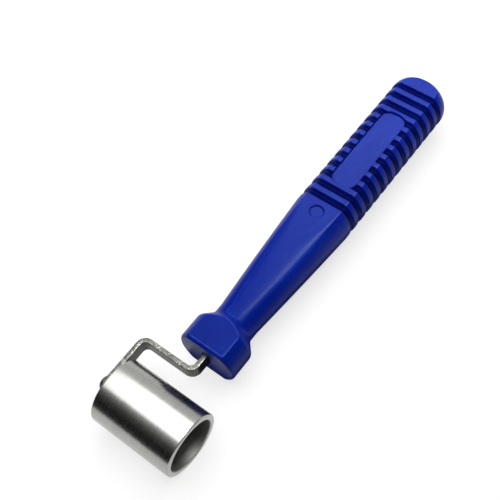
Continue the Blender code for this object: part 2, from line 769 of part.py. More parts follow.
def build_handle(material, parent):
    """The moulded handle: turned blank, flats, grooves, panels, ejector mark and the arm's slot."""
    handle = turned("handle", handle_profile(), "Y", HANDLE_STEPS, material, parent)
    width = 2 * (max(GUARD_RADIUS, GRIP_RADIUS) + CUT_MARGIN)
    keep_inside(handle, "flats", prism_mesh("flats", [flats_outline()], "YZ", 0.0, width), parent)
    boolean(handle, "DIFFERENCE", grooves_cutter(parent))
    cut_away(handle, "panels", panels_mesh(), parent)
    cut_away(handle, "ejector_mark", ejector_mark_mesh(), parent)
    cut_away(handle, "tang_slot", tang_slot_mesh(), parent)
    return handle


def build_bearing(prefix, station, ball, finishes):
    """One shielded ball bearing; its pieces are placed from an empty at its middle, on the axis."""
    place = add_empty(prefix + "_axis", (HANDLE_X + station, ROLLER_Y, AXIS_Z))
    build_inner_ring(prefix + "_inner_ring", finishes["bearing_steel"], place)
    build_outer_ring(prefix + "_outer_ring", finishes["bearing_steel"], place)
    build_cage(prefix + "_cage", finishes["cage_plastic"], place)
    build_balls(prefix, ball, finishes["bearing_steel"], place)
    build_shield(prefix + "_arm_shield", -1, finishes["shield_steel"], place)
    build_shield(prefix + "_open_shield", 1, finishes["shield_steel"], place)


def build_seam_roller():
    finishes = {name: new_material(name) for name in FINISHES}
    roller_axis = add_empty("roller_axis", (HANDLE_X, ROLLER_Y, AXIS_Z))
    handle_axis = add_empty("handle_axis", (HANDLE_X, HANDLE_Y, AXIS_Z))
    build_handle(finishes["blue_plastic"], handle_axis)
    build_arm(finishes["strap_steel"], roller_axis)
    build_axle(finishes["turned_steel"], roller_axis)
    build_roller(finishes["turned_steel"], roller_axis)
    build_spacer(finishes["shield_steel"], roller_axis)
    build_washer(finishes["shield_steel"], roller_axis)
    build_clip(finishes["clip_steel"], roller_axis)
    ball = ball_mesh()
    build_bearing("bearing_1", FIRST_BEARING, ball, finishes)
    build_bearing("bearing_2", SECOND_BEARING, ball, finishes)


clear_scene()
PARTS = new_collection("seam_roller")
CUTTERS = new_collection("cutters")
build_seam_roller()
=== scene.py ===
import math

import bmesh
import bpy
from mathutils import Matrix, Vector


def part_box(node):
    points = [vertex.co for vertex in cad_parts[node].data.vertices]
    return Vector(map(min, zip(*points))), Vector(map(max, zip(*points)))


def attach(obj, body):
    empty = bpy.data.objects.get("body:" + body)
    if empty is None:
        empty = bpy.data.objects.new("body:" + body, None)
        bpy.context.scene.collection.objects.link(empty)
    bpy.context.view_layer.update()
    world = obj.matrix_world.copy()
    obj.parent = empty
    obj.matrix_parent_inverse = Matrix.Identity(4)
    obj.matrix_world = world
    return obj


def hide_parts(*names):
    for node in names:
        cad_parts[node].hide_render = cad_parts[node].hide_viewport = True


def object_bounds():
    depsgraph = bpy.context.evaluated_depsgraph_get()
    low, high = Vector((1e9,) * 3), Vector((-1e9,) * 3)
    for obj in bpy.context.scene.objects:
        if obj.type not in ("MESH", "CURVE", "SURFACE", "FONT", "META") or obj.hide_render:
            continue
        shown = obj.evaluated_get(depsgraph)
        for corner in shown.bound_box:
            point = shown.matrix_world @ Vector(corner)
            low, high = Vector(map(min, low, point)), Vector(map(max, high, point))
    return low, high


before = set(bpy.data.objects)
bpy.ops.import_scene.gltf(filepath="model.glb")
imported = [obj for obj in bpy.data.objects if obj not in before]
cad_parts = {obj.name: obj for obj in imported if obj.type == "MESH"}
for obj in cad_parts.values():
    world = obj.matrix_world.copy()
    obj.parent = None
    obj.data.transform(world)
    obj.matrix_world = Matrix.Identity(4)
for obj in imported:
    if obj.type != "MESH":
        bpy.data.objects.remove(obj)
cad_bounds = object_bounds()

# Lengths below are in millimetres; MM takes them to the frame's metres.
MM = 0.001

# Handle; stations are measured from its front face
HANDLE_LENGTH = 141.4
GUARD_RADIUS = 11.55
GUARD_LENGTH = 10.25
GUARD_EDGE = 1.2
GUARD_CORNER = 2.7
GUARD_FLAT = 8.9                 # flats are half of the thickness across them
GUARD_FLAT_CORNER = 1.2          # how far the corners of the flats' outlines are rounded
NECK_START = 14.25
NECK_END = 18.45
NECK_RADIUS = 7.95
NECK_FILLET = 3.0
BODY_END = 68.45
BODY_BULGE = 0.15
BODY_FLAT_START = 15.45
BODY_FLAT_STEP = 0.25            # the body's flats cut into the neck over this length
BODY_FLAT_LOW = 7.45
GRIP_RADIUS = 11.6
GRIP_FLAT = 9.0
TAIL_RADIUS = 6.5
# How softly the round sides meet the flats, as (station, height of the rounding); the middle of the body is
# the softest, and the guard and the grip are crisp
CREASE_SOFTNESS = ((0.0, 0.3), (14.2, 0.3), (17.2, 1.1), (25.0, 1.2), (38.0, 1.9), (52.0, 1.7), (66.0, 0.3),
                   (70.0, 0.3))
FIRST_GROOVE = 72.05
GROOVE_PITCH = 5.04
GROOVE_COUNT = 13
GROOVE_WIDTH = 2.7
GROOVE_DEPTH = 1.7
GROOVE_LEDGE = 0.4               # the grooves run out at this height above the mould's parting plane
GROOVE_FILLET = 0.25
GROOVE_DRAFT = 0.03              # half of the lean of a groove's wall
LAND_EDGE = 0.28                 # rounding of the lands' edges
PANEL_HALF_WIDTH = 5.1
PANEL_FLOOR = 8.2
PANEL_CORNER = 3.8
PANEL_START = 79.98
PANEL_END = 119.56
MARK_STATION = 65.55
MARK_RADIUS = 2.6
MARK_DEPTH = 0.4
EDGE_WALL = 0.05                 # half of the width of the walls round the panel and the mark
PANEL_LEAST_HEIGHT = 6.5         # the panel's and the mark's points of the mesh all lie higher than these
MARK_LEAST_HEIGHT = 8.0
PANEL_BAND = 0.16                # points this near to the panel's or the mark's outline move onto its wall
MARK_BAND = 0.14
SLOT_HALF_WIDTH = 1.3
SLOT_HALF_HEIGHT = 3.4
SLOT_DEPTH = 34.2
SLOT_CHAMFER = 0.25
SLOT_ROW = 3.0                   # radius of the blank's rows that become the slot's walls
FACE_ROW = 3.6                   # radius of the blank's row that becomes the slot's rim
QUADRANT = 48                    # columns of the handle's mesh in a quarter turn
# Evenly spaced rows of the handle's mesh, as (first station, step, count): the guard's edge, the guard, its
# rounded back and the neck, the body, the mark, and the panel's front and back ends
EVEN_ROWS = ((0.9, 0.15, 7), (2.0, 0.8, 8), (8.0, 0.3, 24), (16.0, 1.25, 37), (62.6, 0.28, 22),
             (PANEL_START - 0.3, 0.3, 16), (PANEL_END + 0.3, -0.3, 16))

# Arm
STRAP_THICKNESS = 1.8
STRAP_HEIGHT = 6.0
BEND_RADIUS = 2.0
EYE_RADIUS = 2.0
STRAP_CROSS = 20.5               # roller's axis to the cross leg's outer face
TANG_LENGTH = 33.0
# The tang with its three barbs and its tapered tip, as (station, half height)
TANG_OUTLINE = ((0.0, 3.0), (14.0, 3.0), (14.05, 2.4), (16.4, 3.0), (20.0, 3.0), (20.05, 2.4), (22.4, 3.0),
                (26.0, 3.0), (26.05, 2.4), (28.4, 3.0), (32.0, 3.0), (33.0, 2.0))

# Roller
ROLLER_LENGTH = 33.0
ROLLER_RADIUS = 12.0
ROLLER_EDGE = 0.6
BORE_RADIUS = 9.8
BORE_CHAMFER = 0.4
LIP_WIDTH = 1.2
LIP_RADIUS = 8.0

# Axle
SEAT_GAP = 0.3
HEAD_RADIUS = 2.6
SHANK_RADIUS = 1.7
COLLAR_RADIUS = 4.2
JOURNAL_RADIUS = 2.7
CLIP_GROOVE_RADIUS = 1.9

# Bearings
BEARING_WIDTH = 6.0
BEARING_BORE_RADIUS = 3.0
BEARING_RADIUS = 9.5
INNER_LAND = 4.95
OUTER_LAND = 7.55
PITCH_RADIUS = 6.25
TRACK_RADIUS = 1.75
REBATE_DEPTH = 1.0               # of the shields' seats, outwards from the outer ring's land
REBATE_WIDTH = 0.7
RING_EDGE = 0.3

# Retaining ring
CLIP_INSIDE = 3.0
CLIP_OUTSIDE = 4.4
CLIP_THICKNESS = 0.6
CLIP_LUG_REACH = 0.8
CLIP_LUG_SLOPE = 0.12            # radians over which a lug rises

# Segments in a full turn
ROLLER_STEPS = 192
SMALL_STEPS = 96


def clamped(value):
    """The value, held between 0 and 1."""
    return min(max(value, 0.0), 1.0)


def linear(code):
    """An sRGB hex colour as the linear colour that the shaders take."""
    channels = [int(code[i:i + 2], 16) / 255 for i in (1, 3, 5)]
    return tuple(c / 12.92 if c <= 0.04045 else ((c + 0.055) / 1.055) ** 2.4 for c in channels) + (1.0,)


def per_metre(size):
    """How many patterns of this many millimetres go into a metre, which is a noise node's scale."""
    return 1.0 / (size * MM)


def add(tree, kind, output, inputs=None, **settings):
    """Adds a shader node with its settings, values and links, and gives back its named output, or all of
    its outputs for None.

    Inputs maps a socket's name or number to a value or to another node's output. A Mix node's colours are
    its inputs 6 and 7 and its output 2.
    """
    node = tree.nodes.new("ShaderNode" + kind)
    for name, value in settings.items():
        setattr(node, name, value)
    for socket, value in (inputs or {}).items():
        if isinstance(value, bpy.types.NodeSocket):
            tree.links.new(value, node.inputs[socket])
        else:
            node.inputs[socket].default_value = value
    return node.outputs if output is None else node.outputs[output]


def new_material(name):
    """A material and its node tree, emptied."""
    material = bpy.data.materials.new(name)
    material.use_nodes = True
    material.node_tree.nodes.clear()
    return material, material.node_tree


def moulded_polypropylene():
    """Polypropylene moulded in a spark-eroded steel mould: a soft sheen with a fine grain and flow marks. Use
    has rubbed its edges, which also carry a painted highlight; painted light makes the grip lighter and
    shinier than the guard; and painted shade darkens the grooves, the slot, the panel's rim and the mark."""
    material, tree = new_material("moulded_polypropylene")
    place = add(tree, "TexCoord", "Object")
    # Flow marks 7 mm across and four times as long
    flow = add(tree, "TexNoise", "Fac", {
        "Vector": add(tree, "Mapping", "Vector", {"Vector": place, "Scale": (1.0, 0.25, 1.0)}),
        "Scale": per_metre(7.0),
        "Detail": 3.0,
    })
    along = add(tree, "SeparateXYZ", "Y", {"Vector": place})
    # Painted light: the colour is lighter towards the tail, where more light falls
    shaded_front_colour = add(tree, "Mix", 2, {
        "Factor": add(tree, "MapRange", "Result", {"Value": flow, "From Min": 0.35, "From Max": 0.65}),
        6: linear("#021B84"),
        7: linear("#03238F"),
    }, data_type="RGBA")
    lit_tail_colour = add(tree, "Mix", 2, {
        "Factor": add(tree, "MapRange", "Result", {"Value": flow, "From Min": 0.35, "From Max": 0.65}),
        6: linear("#0520A0"),
        7: linear("#082AAC"),
    }, data_type="RGBA")
    colour = add(tree, "Mix", 2, {
        "Factor": add(tree, "MapRange", "Result", {"Value": along, "From Min": -0.05, "From Max": 0.08}),
        6: shaded_front_colour,
        7: lit_tail_colour,
    }, data_type="RGBA")
    # Rubbed streaks half a millimetre wide and 4 mm long, stronger towards the tail
    rub = add(tree, "TexNoise", "Fac", {
        "Vector": add(tree, "Mapping", "Vector", {"Vector": place, "Scale": (1.0, 0.12, 1.0)}),
        "Scale": per_metre(0.5),
        "Detail": 4.0,
        "Roughness": 0.6,
    })
    rubbed = add(tree, "MapRange", "Result", {"Value": rub, "From Min": 0.58, "From Max": 0.72})
    colour = add(tree, "Mix", 2, {
        "Factor": add(tree, "Math", 0, {
            0: rubbed,
            1: add(tree, "MapRange", "Result", {
                "Value": along,
                "From Min": -0.05,
                "From Max": 0.05,
                "To Min": 0.06,
                "To Max": 0.22,
            }),
        }, operation="MULTIPLY"),
        6: colour,
        7: linear("#4A62BE"),
    }, data_type="RGBA")
    # Painted highlight along the flats' edges, partly edge wear, broken up by nicks of about 1 mm
    nick = add(tree, "TexNoise", "Fac", {
        "Vector": place,
        "Scale": per_metre(0.9),
        "Detail": 3.0,
        "Roughness": 0.6,
    })
    edge = add(tree, "Math", 0, {
        0: add(tree, "Attribute", "Fac", attribute_name="wear_and_highlight"),
        1: add(tree, "MapRange", "Result", {
            "Value": nick,
            "From Min": 0.35,
            "From Max": 0.6,
            "To Min": 0.35,
        }),
    }, operation="MULTIPLY")
    colour = add(tree, "Mix", 2, {
        "Factor": add(tree, "Math", 0, {0: edge, 1: 0.6}, operation="MULTIPLY"),
        6: colour,
        7: linear("#4460CC"),
    }, data_type="RGBA")
    # Painted shade in the grooves, the slot, along the panel's rim and round the mark, darkest on its tail
    # side
    recess_shade = add(tree, "Attribute", "Fac", attribute_name="recess_shade")
    colour = add(tree, "Mix", 2, {
        "Factor": add(tree, "Math", 0, {0: recess_shade, 1: 0.95}, operation="MULTIPLY"),
        6: colour,
        7: linear("#01023C"),
    }, data_type="RGBA")
    # The mould's grain is about 0.1 mm, drawn six times as coarse so that it shows
    grain = add(tree, "TexNoise", "Fac", {
        "Vector": place,
        "Scale": per_metre(0.6),
        "Detail": 3.0,
        "Roughness": 0.6,
    })
    roughness = add(tree, "MapRange", "Result", {
        "Value": grain,
        "From Min": 0.3,
        "From Max": 0.7,
        "To Min": 0.32,
        "To Max": 0.42,
    })
    roughness = add(tree, "Math", 0, {
        0: roughness,
        1: add(tree, "Math", 0, {0: rubbed, 1: 0.08}, operation="MULTIPLY"),
    }, operation="ADD")
    roughness = add(tree, "Math", 0, {
        0: roughness,
        1: add(tree, "Math", 0, {0: recess_shade, 1: 0.25}, operation="MULTIPLY"),
    }, operation="ADD")
    # Scattered dents of about 1 mm
    dents = add(tree, "MapRange", "Result", {
        "Value": add(tree, "TexNoise", "Fac", {"Vector": place, "Scale": per_metre(1.4)}),
        "From Min": 0.69,
        "From Max": 0.75,
        "To Max": -1.0,
    })
    # Painted light: the sheen is tinted stronger towards the tail; painted shade nearly puts it out in the
    # grooves
    sheen_light_towards_tail = add(tree, "MapRange", "Result", {
        "Value": along,
        "From Min": -0.03,
        "From Max": 0.05,
        "To Min": 0.22,
        "To Max": 0.85,
    })
    painted_sheen = add(tree, "Math", 0, {
        0: sheen_light_towards_tail,
        1: add(tree, "MapRange", "Result", {"Value": recess_shade, "From Max": 0.6, "To Min": 1.0, "To Max": 0.03}),
    }, operation="MULTIPLY")
    tint = add(tree, "Mix", 2, {
        "Factor": painted_sheen,
        6: linear("#000000"),
        7: linear("#D8F4FF"),
    }, data_type="RGBA")
    # The grain, two sizes of ripple left by the plastic's shrinking, and the dents
    normal = add(tree, "Bump", "Normal", {"Height": grain, "Distance": 0.015 * MM})
    normal = add(tree, "Bump", "Normal", {
        "Height": add(tree, "TexNoise", "Fac", {
            "Vector": place,
            "Scale": per_metre(1.1),
            "Detail": 3.0,
            "Roughness": 0.6,
        }),
        "Distance": 0.028 * MM,
        "Normal": normal,
    })
    normal = add(tree, "Bump", "Normal", {
        "Height": add(tree, "TexNoise", "Fac", {"Vector": place, "Scale": per_metre(6.0)}),
        "Distance": 0.05 * MM,
        "Normal": normal,
    })
    normal = add(tree, "Bump", "Normal", {"Height": dents, "Distance": 0.04 * MM, "Normal": normal})
    shader = add(tree, "BsdfPrincipled", "BSDF", {
        "Base Color": colour,
        "Roughness": roughness,
        "IOR": 1.49,
        "Normal": normal,
        "Specular IOR Level": 0.2,
        "Specular Tint": tint,
    })
    add(tree, "OutputMaterial", None, {"Surface": shader})
    return material


def turned_steel():
    """Steel turned on a lathe and left bright: fine lines round the axis draw reflections out along it. The
    bore is rougher from the boring tool, and its colour is darkened as painted shade inside the tube."""
    material, tree = new_material("turned_steel")
    place = add(tree, "TexCoord", "Object")
    # Lathe lines, a feed of 0.16 mm apart
    lines = add(tree, "TexNoise", "Fac", {
        "Vector": add(tree, "Mapping", "Vector", {"Vector": place, "Scale": (1.0, 0.002, 0.002)}),
        "Scale": per_metre(0.16),
        "Roughness": 0.6,
    })
    # Faint bands 2 mm wide, where the tool chattered, and dull spots from handling
    bands = add(tree, "TexNoise", "Fac", {
        "Vector": add(tree, "Mapping", "Vector", {"Vector": place, "Scale": (1.0, 0.01, 0.01)}),
        "Scale": per_metre(2.2),
    })
    spots = add(tree, "TexNoise", "Fac", {"Vector": place, "Scale": per_metre(5.0), "Detail": 3.0})
    colour = add(tree, "Mix", 2, {
        "Factor": add(tree, "MapRange", "Result", {"Value": bands, "From Min": 0.3, "From Max": 0.7}),
        6: linear("#9D9D99"),
        7: linear("#A4A4A1"),
    }, data_type="RGBA")
    colour = add(tree, "Mix", 2, {
        "Factor": add(tree, "MapRange", "Result", {
            "Value": lines,
            "From Min": 0.5,
            "From Max": 0.8,
            "To Max": 0.5,
        }),
        6: colour,
        7: linear("#ACACA9"),
    }, data_type="RGBA")
    colour = add(tree, "Mix", 2, {
        "Factor": add(tree, "MapRange", "Result", {
            "Value": spots,
            "From Min": 0.55,
            "From Max": 0.8,
            "To Max": 0.3,
        }),
        6: colour,
        7: linear("#9B9A94"),
    }, data_type="RGBA")
    # The bore: rougher, and darker in colour as painted shade
    bored = add(tree, "Attribute", "Fac", attribute_name="bored")
    colour = add(tree, "Mix", 2, {
        "Factor": add(tree, "Math", 0, {0: bored, 1: 0.9}, operation="MULTIPLY"),
        6: colour,
        7: linear("#646461"),
    }, data_type="RGBA")
    roughness = add(tree, "MapRange", "Result", {
        "Value": lines,
        "From Min": 0.3,
        "From Max": 0.7,
        "To Min": 0.255,
        "To Max": 0.28,
    })
    roughness = add(tree, "Math", 0, {
        0: roughness,
        1: add(tree, "Math", 0, {0: bored, 1: 0.4}, operation="MULTIPLY"),
    }, operation="ADD")
    tangent = add(tree, "Tangent", "Tangent", direction_type="RADIAL", axis="X")
    normal = add(tree, "Bump", "Normal", {"Height": lines, "Distance": 0.00015 * MM})
    shader = add(tree, "BsdfPrincipled", "BSDF", {
        "Base Color": colour,
        "Metallic": 1.0,
        "Roughness": roughness,
        "Anisotropic": 0.4,
        "Anisotropic Rotation": 0.25,
        "Tangent": tangent,
        "Normal": normal,
    })
    add(tree, "OutputMaterial", None, {"Surface": shader})
    return material


def sheared_strap_steel():
    """Rolled strap steel, sheared to width and bent cold: dark mill scale on the rolled faces, and bare
    speckled metal on the sheared edges, which face up and down."""
    material, tree = new_material("sheared_strap_steel")
    place = add(tree, "TexCoord", "Object")
    # Mill scale in patches of about 1 mm, and specks of bare metal of half of that
    mottle = add(tree, "TexNoise", "Fac", {
        "Vector": place,
        "Scale": per_metre(1.3),
        "Detail": 4.0,
        "Roughness": 0.65,
    })
    specks = add(tree, "TexNoise", "Fac", {"Vector": place, "Scale": per_metre(0.45), "Roughness": 0.6})
    scale = add(tree, "Mix", 2, {
        "Factor": add(tree, "MapRange", "Result", {"Value": mottle, "From Min": 0.35, "From Max": 0.65}),
        6: linear("#2B2B2A"),
        7: linear("#464643"),
    }, data_type="RGBA")
    bare = add(tree, "Mix", 2, {
        "Factor": add(tree, "MapRange", "Result", {"Value": mottle, "From Min": 0.35, "From Max": 0.65}),
        6: linear("#3D3D3A"),
        7: linear("#535350"),
    }, data_type="RGBA")
    bare = add(tree, "Mix", 2, {
        "Factor": add(tree, "MapRange", "Result", {"Value": specks, "From Min": 0.58, "From Max": 0.72}),
        6: bare,
        7: linear("#B6B6AE"),
    }, data_type="RGBA")
    # The sheared edges face up and down, and the rolled faces sideways
    facing = add(tree, "SeparateXYZ", "Z", {"Vector": add(tree, "NewGeometry", "Normal")})
    level = add(tree, "Math", 0, {0: facing}, operation="ABSOLUTE")
    colour = add(tree, "Mix", 2, {
        "Factor": add(tree, "MapRange", "Result", {"Value": level, "From Min": 0.45, "From Max": 0.85}),
        6: scale,
        7: bare,
    }, data_type="RGBA")
    roughness = add(tree, "MapRange", "Result", {
        "Value": mottle,
        "From Min": 0.3,
        "From Max": 0.7,
        "To Min": 0.3,
        "To Max": 0.46,
    })
    normal = add(tree, "Bump", "Normal", {"Height": specks, "Distance": 0.012 * MM})
    shader = add(tree, "BsdfPrincipled", "BSDF", {
        "Base Color": colour,
        "Metallic": 1.0,
        "Roughness": roughness,
        "Normal": normal,
    })
    add(tree, "OutputMaterial", None, {"Surface": shader})
    return material


def ground_bearing_steel():
    """Hardened bearing steel, ground all over: bright, with fine grinding lines round the axis."""
    material, tree = new_material("ground_bearing_steel")
    place = add(tree, "TexCoord", "Object")
    # Grinding lines are some hundredths of a millimetre wide, drawn at 0.12 mm so that they show close by
    lines = add(tree, "TexNoise", "Fac", {
        "Vector": add(tree, "Mapping", "Vector", {"Vector": place, "Scale": (1.0, 0.01, 0.01)}),
        "Scale": per_metre(0.12),
    })
    haze = add(tree, "TexNoise", "Fac", {"Vector": place, "Scale": per_metre(2.0), "Detail": 3.0})
    colour = add(tree, "Mix", 2, {
        "Factor": add(tree, "MapRange", "Result", {"Value": haze, "From Min": 0.35, "From Max": 0.65}),
        6: linear("#C9C9CB"),
        7: linear("#DADADB"),
    }, data_type="RGBA")
    roughness = add(tree, "MapRange", "Result", {
        "Value": lines,
        "From Min": 0.3,
        "From Max": 0.7,
        "To Min": 0.1,
        "To Max": 0.2,
    })
    normal = add(tree, "Bump", "Normal", {"Height": lines, "Distance": 0.001 * MM})
    shader = add(tree, "BsdfPrincipled", "BSDF", {
        "Base Color": colour,
        "Metallic": 1.0,
        "Roughness": roughness,
        "Normal": normal,
    })
    add(tree, "OutputMaterial", None, {"Surface": shader})
    return material


def pressed_shield_steel():
    """Thin sheet steel, pressed and tumbled: satin, with small random rubs."""
    material, tree = new_material("pressed_shield_steel")
    place = add(tree, "TexCoord", "Object")
    # Rubs of about half a millimetre from tumbling
    rubs = add(tree, "TexNoise", "Fac", {
        "Vector": place,
        "Scale": per_metre(0.6),
        "Detail": 4.0,
        "Roughness": 0.7,
    })
    colour = add(tree, "Mix", 2, {
        "Factor": add(tree, "MapRange", "Result", {"Value": rubs, "From Min": 0.35, "From Max": 0.65}),
        6: linear("#A9AAAC"),
        7: linear("#BFC0C1"),
    }, data_type="RGBA")
    roughness = add(tree, "MapRange", "Result", {
        "Value": rubs,
        "From Min": 0.3,
        "From Max": 0.7,
        "To Min": 0.28,
        "To Max": 0.42,
    })
    normal = add(tree, "Bump", "Normal", {"Height": rubs, "Distance": 0.004 * MM})
    shader = add(tree, "BsdfPrincipled", "BSDF", {
        "Base Color": colour,
        "Metallic": 1.0,
        "Roughness": roughness,
        "Normal": normal,
    })
    add(tree, "OutputMaterial", None, {"Surface": shader})
    return material


def blackened_spring_steel():
    """Spring steel blackened in hot oil: nearly black, worn to bare steel in small spots."""
    material, tree = new_material("blackened_spring_steel")
    place = add(tree, "TexCoord", "Object")
    # Worn spots of just under a millimetre
    wear = add(tree, "TexNoise", "Fac", {
        "Vector": place,
        "Scale": per_metre(0.7),
        "Detail": 4.0,
        "Roughness": 0.7,
    })
    colour = add(tree, "Mix", 2, {
        "Factor": add(tree, "MapRange", "Result", {"Value": wear, "From Min": 0.6, "From Max": 0.75}),
        6: linear("#2B2B2D"),
        7: linear("#8A8A88"),
    }, data_type="RGBA")
    roughness = add(tree, "MapRange", "Result", {
        "Value": wear,
        "From Min": 0.3,
        "From Max": 0.7,
        "To Min": 0.45,
        "To Max": 0.3,
    })
    normal = add(tree, "Bump", "Normal", {"Height": wear, "Distance": 0.005 * MM})
    shader = add(tree, "BsdfPrincipled", "BSDF", {
        "Base Color": colour,
        "Metallic": 1.0,
        "Roughness": roughness,
        "Normal": normal,
    })
    add(tree, "OutputMaterial", None, {"Surface": shader})
    return material


def moulded_nylon():
    """Black moulded nylon: matt, with a fine even grain."""
    material, tree = new_material("moulded_nylon")
    place = add(tree, "TexCoord", "Object")
    # The mould's grain is about 0.1 mm, drawn three times as coarse so that it shows close by
    grain = add(tree, "TexNoise", "Fac", {"Vector": place, "Scale": per_metre(0.3)})
    colour = add(tree, "Mix", 2, {
        "Factor": grain,
        6: linear("#1B1B1D"),
        7: linear("#2A2A2C"),
    }, data_type="RGBA")
    roughness = add(tree, "MapRange", "Result", {
        "Value": grain,
        "From Min": 0.3,
        "From Max": 0.7,
        "To Min": 0.45,
        "To Max": 0.6,
    })
    normal = add(tree, "Bump", "Normal", {"Height": grain, "Distance": 0.004 * MM})
    shader = add(tree, "BsdfPrincipled", "BSDF", {
        "Base Color": colour,
        "Roughness": roughness,
        "IOR": 1.53,
        "Normal": normal,
    })
    add(tree, "OutputMaterial", None, {"Surface": shader})
    return material


def studio_paper():
    """Smooth white background paper: matt, with a trace of fibre. It lights the object as a grey floor does,
    so that the undersides stay dark; to the eye and in reflections it is white, with a light shadow."""
    material, tree = new_material("studio_paper")
    place = add(tree, "TexCoord", "Object")
    # Paper's fibres are finer than this, drawn at 1.5 mm so that the floor isn't a flat colour
    fibre = add(tree, "TexNoise", "Fac", {
        "Vector": place,
        "Scale": per_metre(1.5),
        "Detail": 4.0,
        "Roughness": 0.7,
    })
    grey = add(tree, "Mix", 2, {
        "Factor": fibre,
        6: linear("#999998"),
        7: linear("#9F9F9F"),
    }, data_type="RGBA")
    # White to the eye and to mirrors, and grey to the light that bounces off it
    path = add(tree, "LightPath", None)
    seen = path["Is Camera Ray"]
    for ray in ("Is Glossy Ray", "Is Transmission Ray"):
        seen = add(tree, "Math", 0, {0: seen, 1: path[ray]}, operation="MAXIMUM")
    glow = add(tree, "Math", 0, {0: seen, 1: 0.7}, operation="MULTIPLY")
    shader = add(tree, "BsdfPrincipled", "BSDF", {
        "Base Color": grey,
        "Roughness": 0.95,
        "Specular IOR Level": 0.1,
        "Emission Color": linear("#FFFFFF"),
        "Emission Strength": glow,
        "Normal": add(tree, "Bump", "Normal", {"Height": fibre, "Distance": 0.01 * MM}),
    })
    add(tree, "OutputMaterial", None, {"Surface": shader})
    return material


def black_flag_cloth():
    """Black cloth on a frame, as a studio hangs in front of bright metal."""
    material, tree = new_material("black_flag_cloth")
    place = add(tree, "TexCoord", "Object")
    # Threads of about a millimetre
    weave = add(tree, "TexNoise", "Fac", {"Vector": place, "Scale": per_metre(1.0)})
    colour = add(tree, "Mix", 2, {
        "Factor": weave,
        6: linear("#0A0A0B"),
        7: linear("#141415"),
    }, data_type="RGBA")
    shader = add(tree, "BsdfPrincipled", "BSDF", {
        "Base Color": colour,
        "Roughness": 0.9,
        "Specular IOR Level": 0.1,
    })
    add(tree, "OutputMaterial", None, {"Surface": shader})
    return material


def rounded(corners, steps=6, closed=False):
    """A line through corners (x, y, radius), each with a radius turned into an arc."""
    line = []
    last = len(corners) - 1
    for i, (x, y, radius) in enumerate(corners):
        if radius <= 0 or (not closed and i in (0, last)):
            line.append((x, y))
            continue
        here = Vector((x, y))
        back = (Vector(corners[i - 1][:2]) - here).normalized()
        ahead = (Vector(corners[(i + 1) % (last + 1)][:2]) - here).normalized()
        half = back.angle(ahead) / 2
        centre = here + (back + ahead).normalized() * radius / math.sin(half)
        start = here + back * radius / math.tan(half) - centre
        end = here + ahead * radius / math.tan(half) - centre
        turn = math.atan2(start.cross(end), start.dot(end))
        for k in range(steps + 1):
            angle = math.atan2(start.y, start.x) + turn * k / steps
            line.append((centre.x + radius * math.cos(angle), centre.y + radius * math.sin(angle)))
    return line


def spun(line, steps, axis, closed=False):
    """A surface turned about the axis from a line of (station, radius) points."""
    work = bmesh.new()
    along = Vector((1, 0, 0)) if axis == "X" else Vector((0, 1, 0))
    out = Vector((0, 1, 0)) if axis == "X" else Vector((1, 0, 0))
    points = [work.verts.new(along * station + out * radius) for station, radius in line]
    edges = [work.edges.new(pair) for pair in zip(points, points[1:])]
    if closed:
        edges.append(work.edges.new((points[-1], points[0])))
    bmesh.ops.spin(work, geom=points + edges, cent=(0, 0, 0), axis=along, dvec=(0, 0, 0), angle=math.tau,
                   steps=steps, use_merge=True, use_duplicate=False)
    bmesh.ops.remove_doubles(work, verts=work.verts, dist=0.0005)
    bmesh.ops.recalc_face_normals(work, faces=work.faces)
    return work


def new_piece(name, work, place, material, body, nodes, sharp=35):
    """Puts a finished mesh in place as a piece that rides on a body and stands for CAD nodes."""
    bmesh.ops.transform(work, matrix=place, verts=work.verts)
    mesh = bpy.data.meshes.new(name)
    work.to_mesh(mesh)
    work.free()
    mesh.shade_smooth()
    mesh.set_sharp_from_angle(angle=math.radians(sharp))
    mesh.materials.append(material)
    piece = bpy.data.objects.new(name, mesh)
    bpy.context.scene.collection.objects.link(piece)
    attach(piece, body)
    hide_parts(*nodes)
    return piece


def placed(origin):
    """The matrix from a piece's own millimetres to its place in the frame."""
    return Matrix.Translation(origin) @ Matrix.Scale(MM, 4)


def node_box(node):
    """A CAD node's lowest and highest corners."""
    low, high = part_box(node)
    return Vector(low), Vector(high)


# Handle ------------------------------------------------------------------------------------------

def soft_min(a, b, softness):
    """The smaller of two heights, with the crease between them rounded."""
    t = clamped(0.5 + 0.5 * (b - a) / softness)
    return b + (a - b) * t - softness * t * (1.0 - t)


def interpolated(x, points):
    """The value at x on a line of (x, value) points."""
    for (x0, y0), (x1, y1) in zip(points, points[1:]):
        if x <= x1:
            return y0 + (y1 - y0) * (x - x0) / max(x1 - x0, 1e-9)
    return points[-1][1]


def flat_height(station):
    """Half of the thickness across the flats: the guard's, then the body's from the middle of the neck on.
    The neck's front is thinner than the guard's flats, so none show there."""
    if station < GUARD_EDGE:
        return GUARD_FLAT - GUARD_EDGE + math.sqrt(GUARD_EDGE ** 2 - (GUARD_EDGE - station) ** 2)
    step = clamped((station - BODY_FLAT_START + BODY_FLAT_STEP) / BODY_FLAT_STEP)
    along = (station - BODY_FLAT_START) / (BODY_END - BODY_FLAT_START)
    body = min(BODY_FLAT_LOW + (GRIP_FLAT - BODY_FLAT_LOW) * along, GRIP_FLAT)
    return GUARD_FLAT + (body - GUARD_FLAT) * step


def nearest_groove(station):
    """The number of the groove whose middle is nearest, counted from 0."""
    return min(max(round((station - FIRST_GROOVE) / GROOVE_PITCH), 0), GROOVE_COUNT - 1)


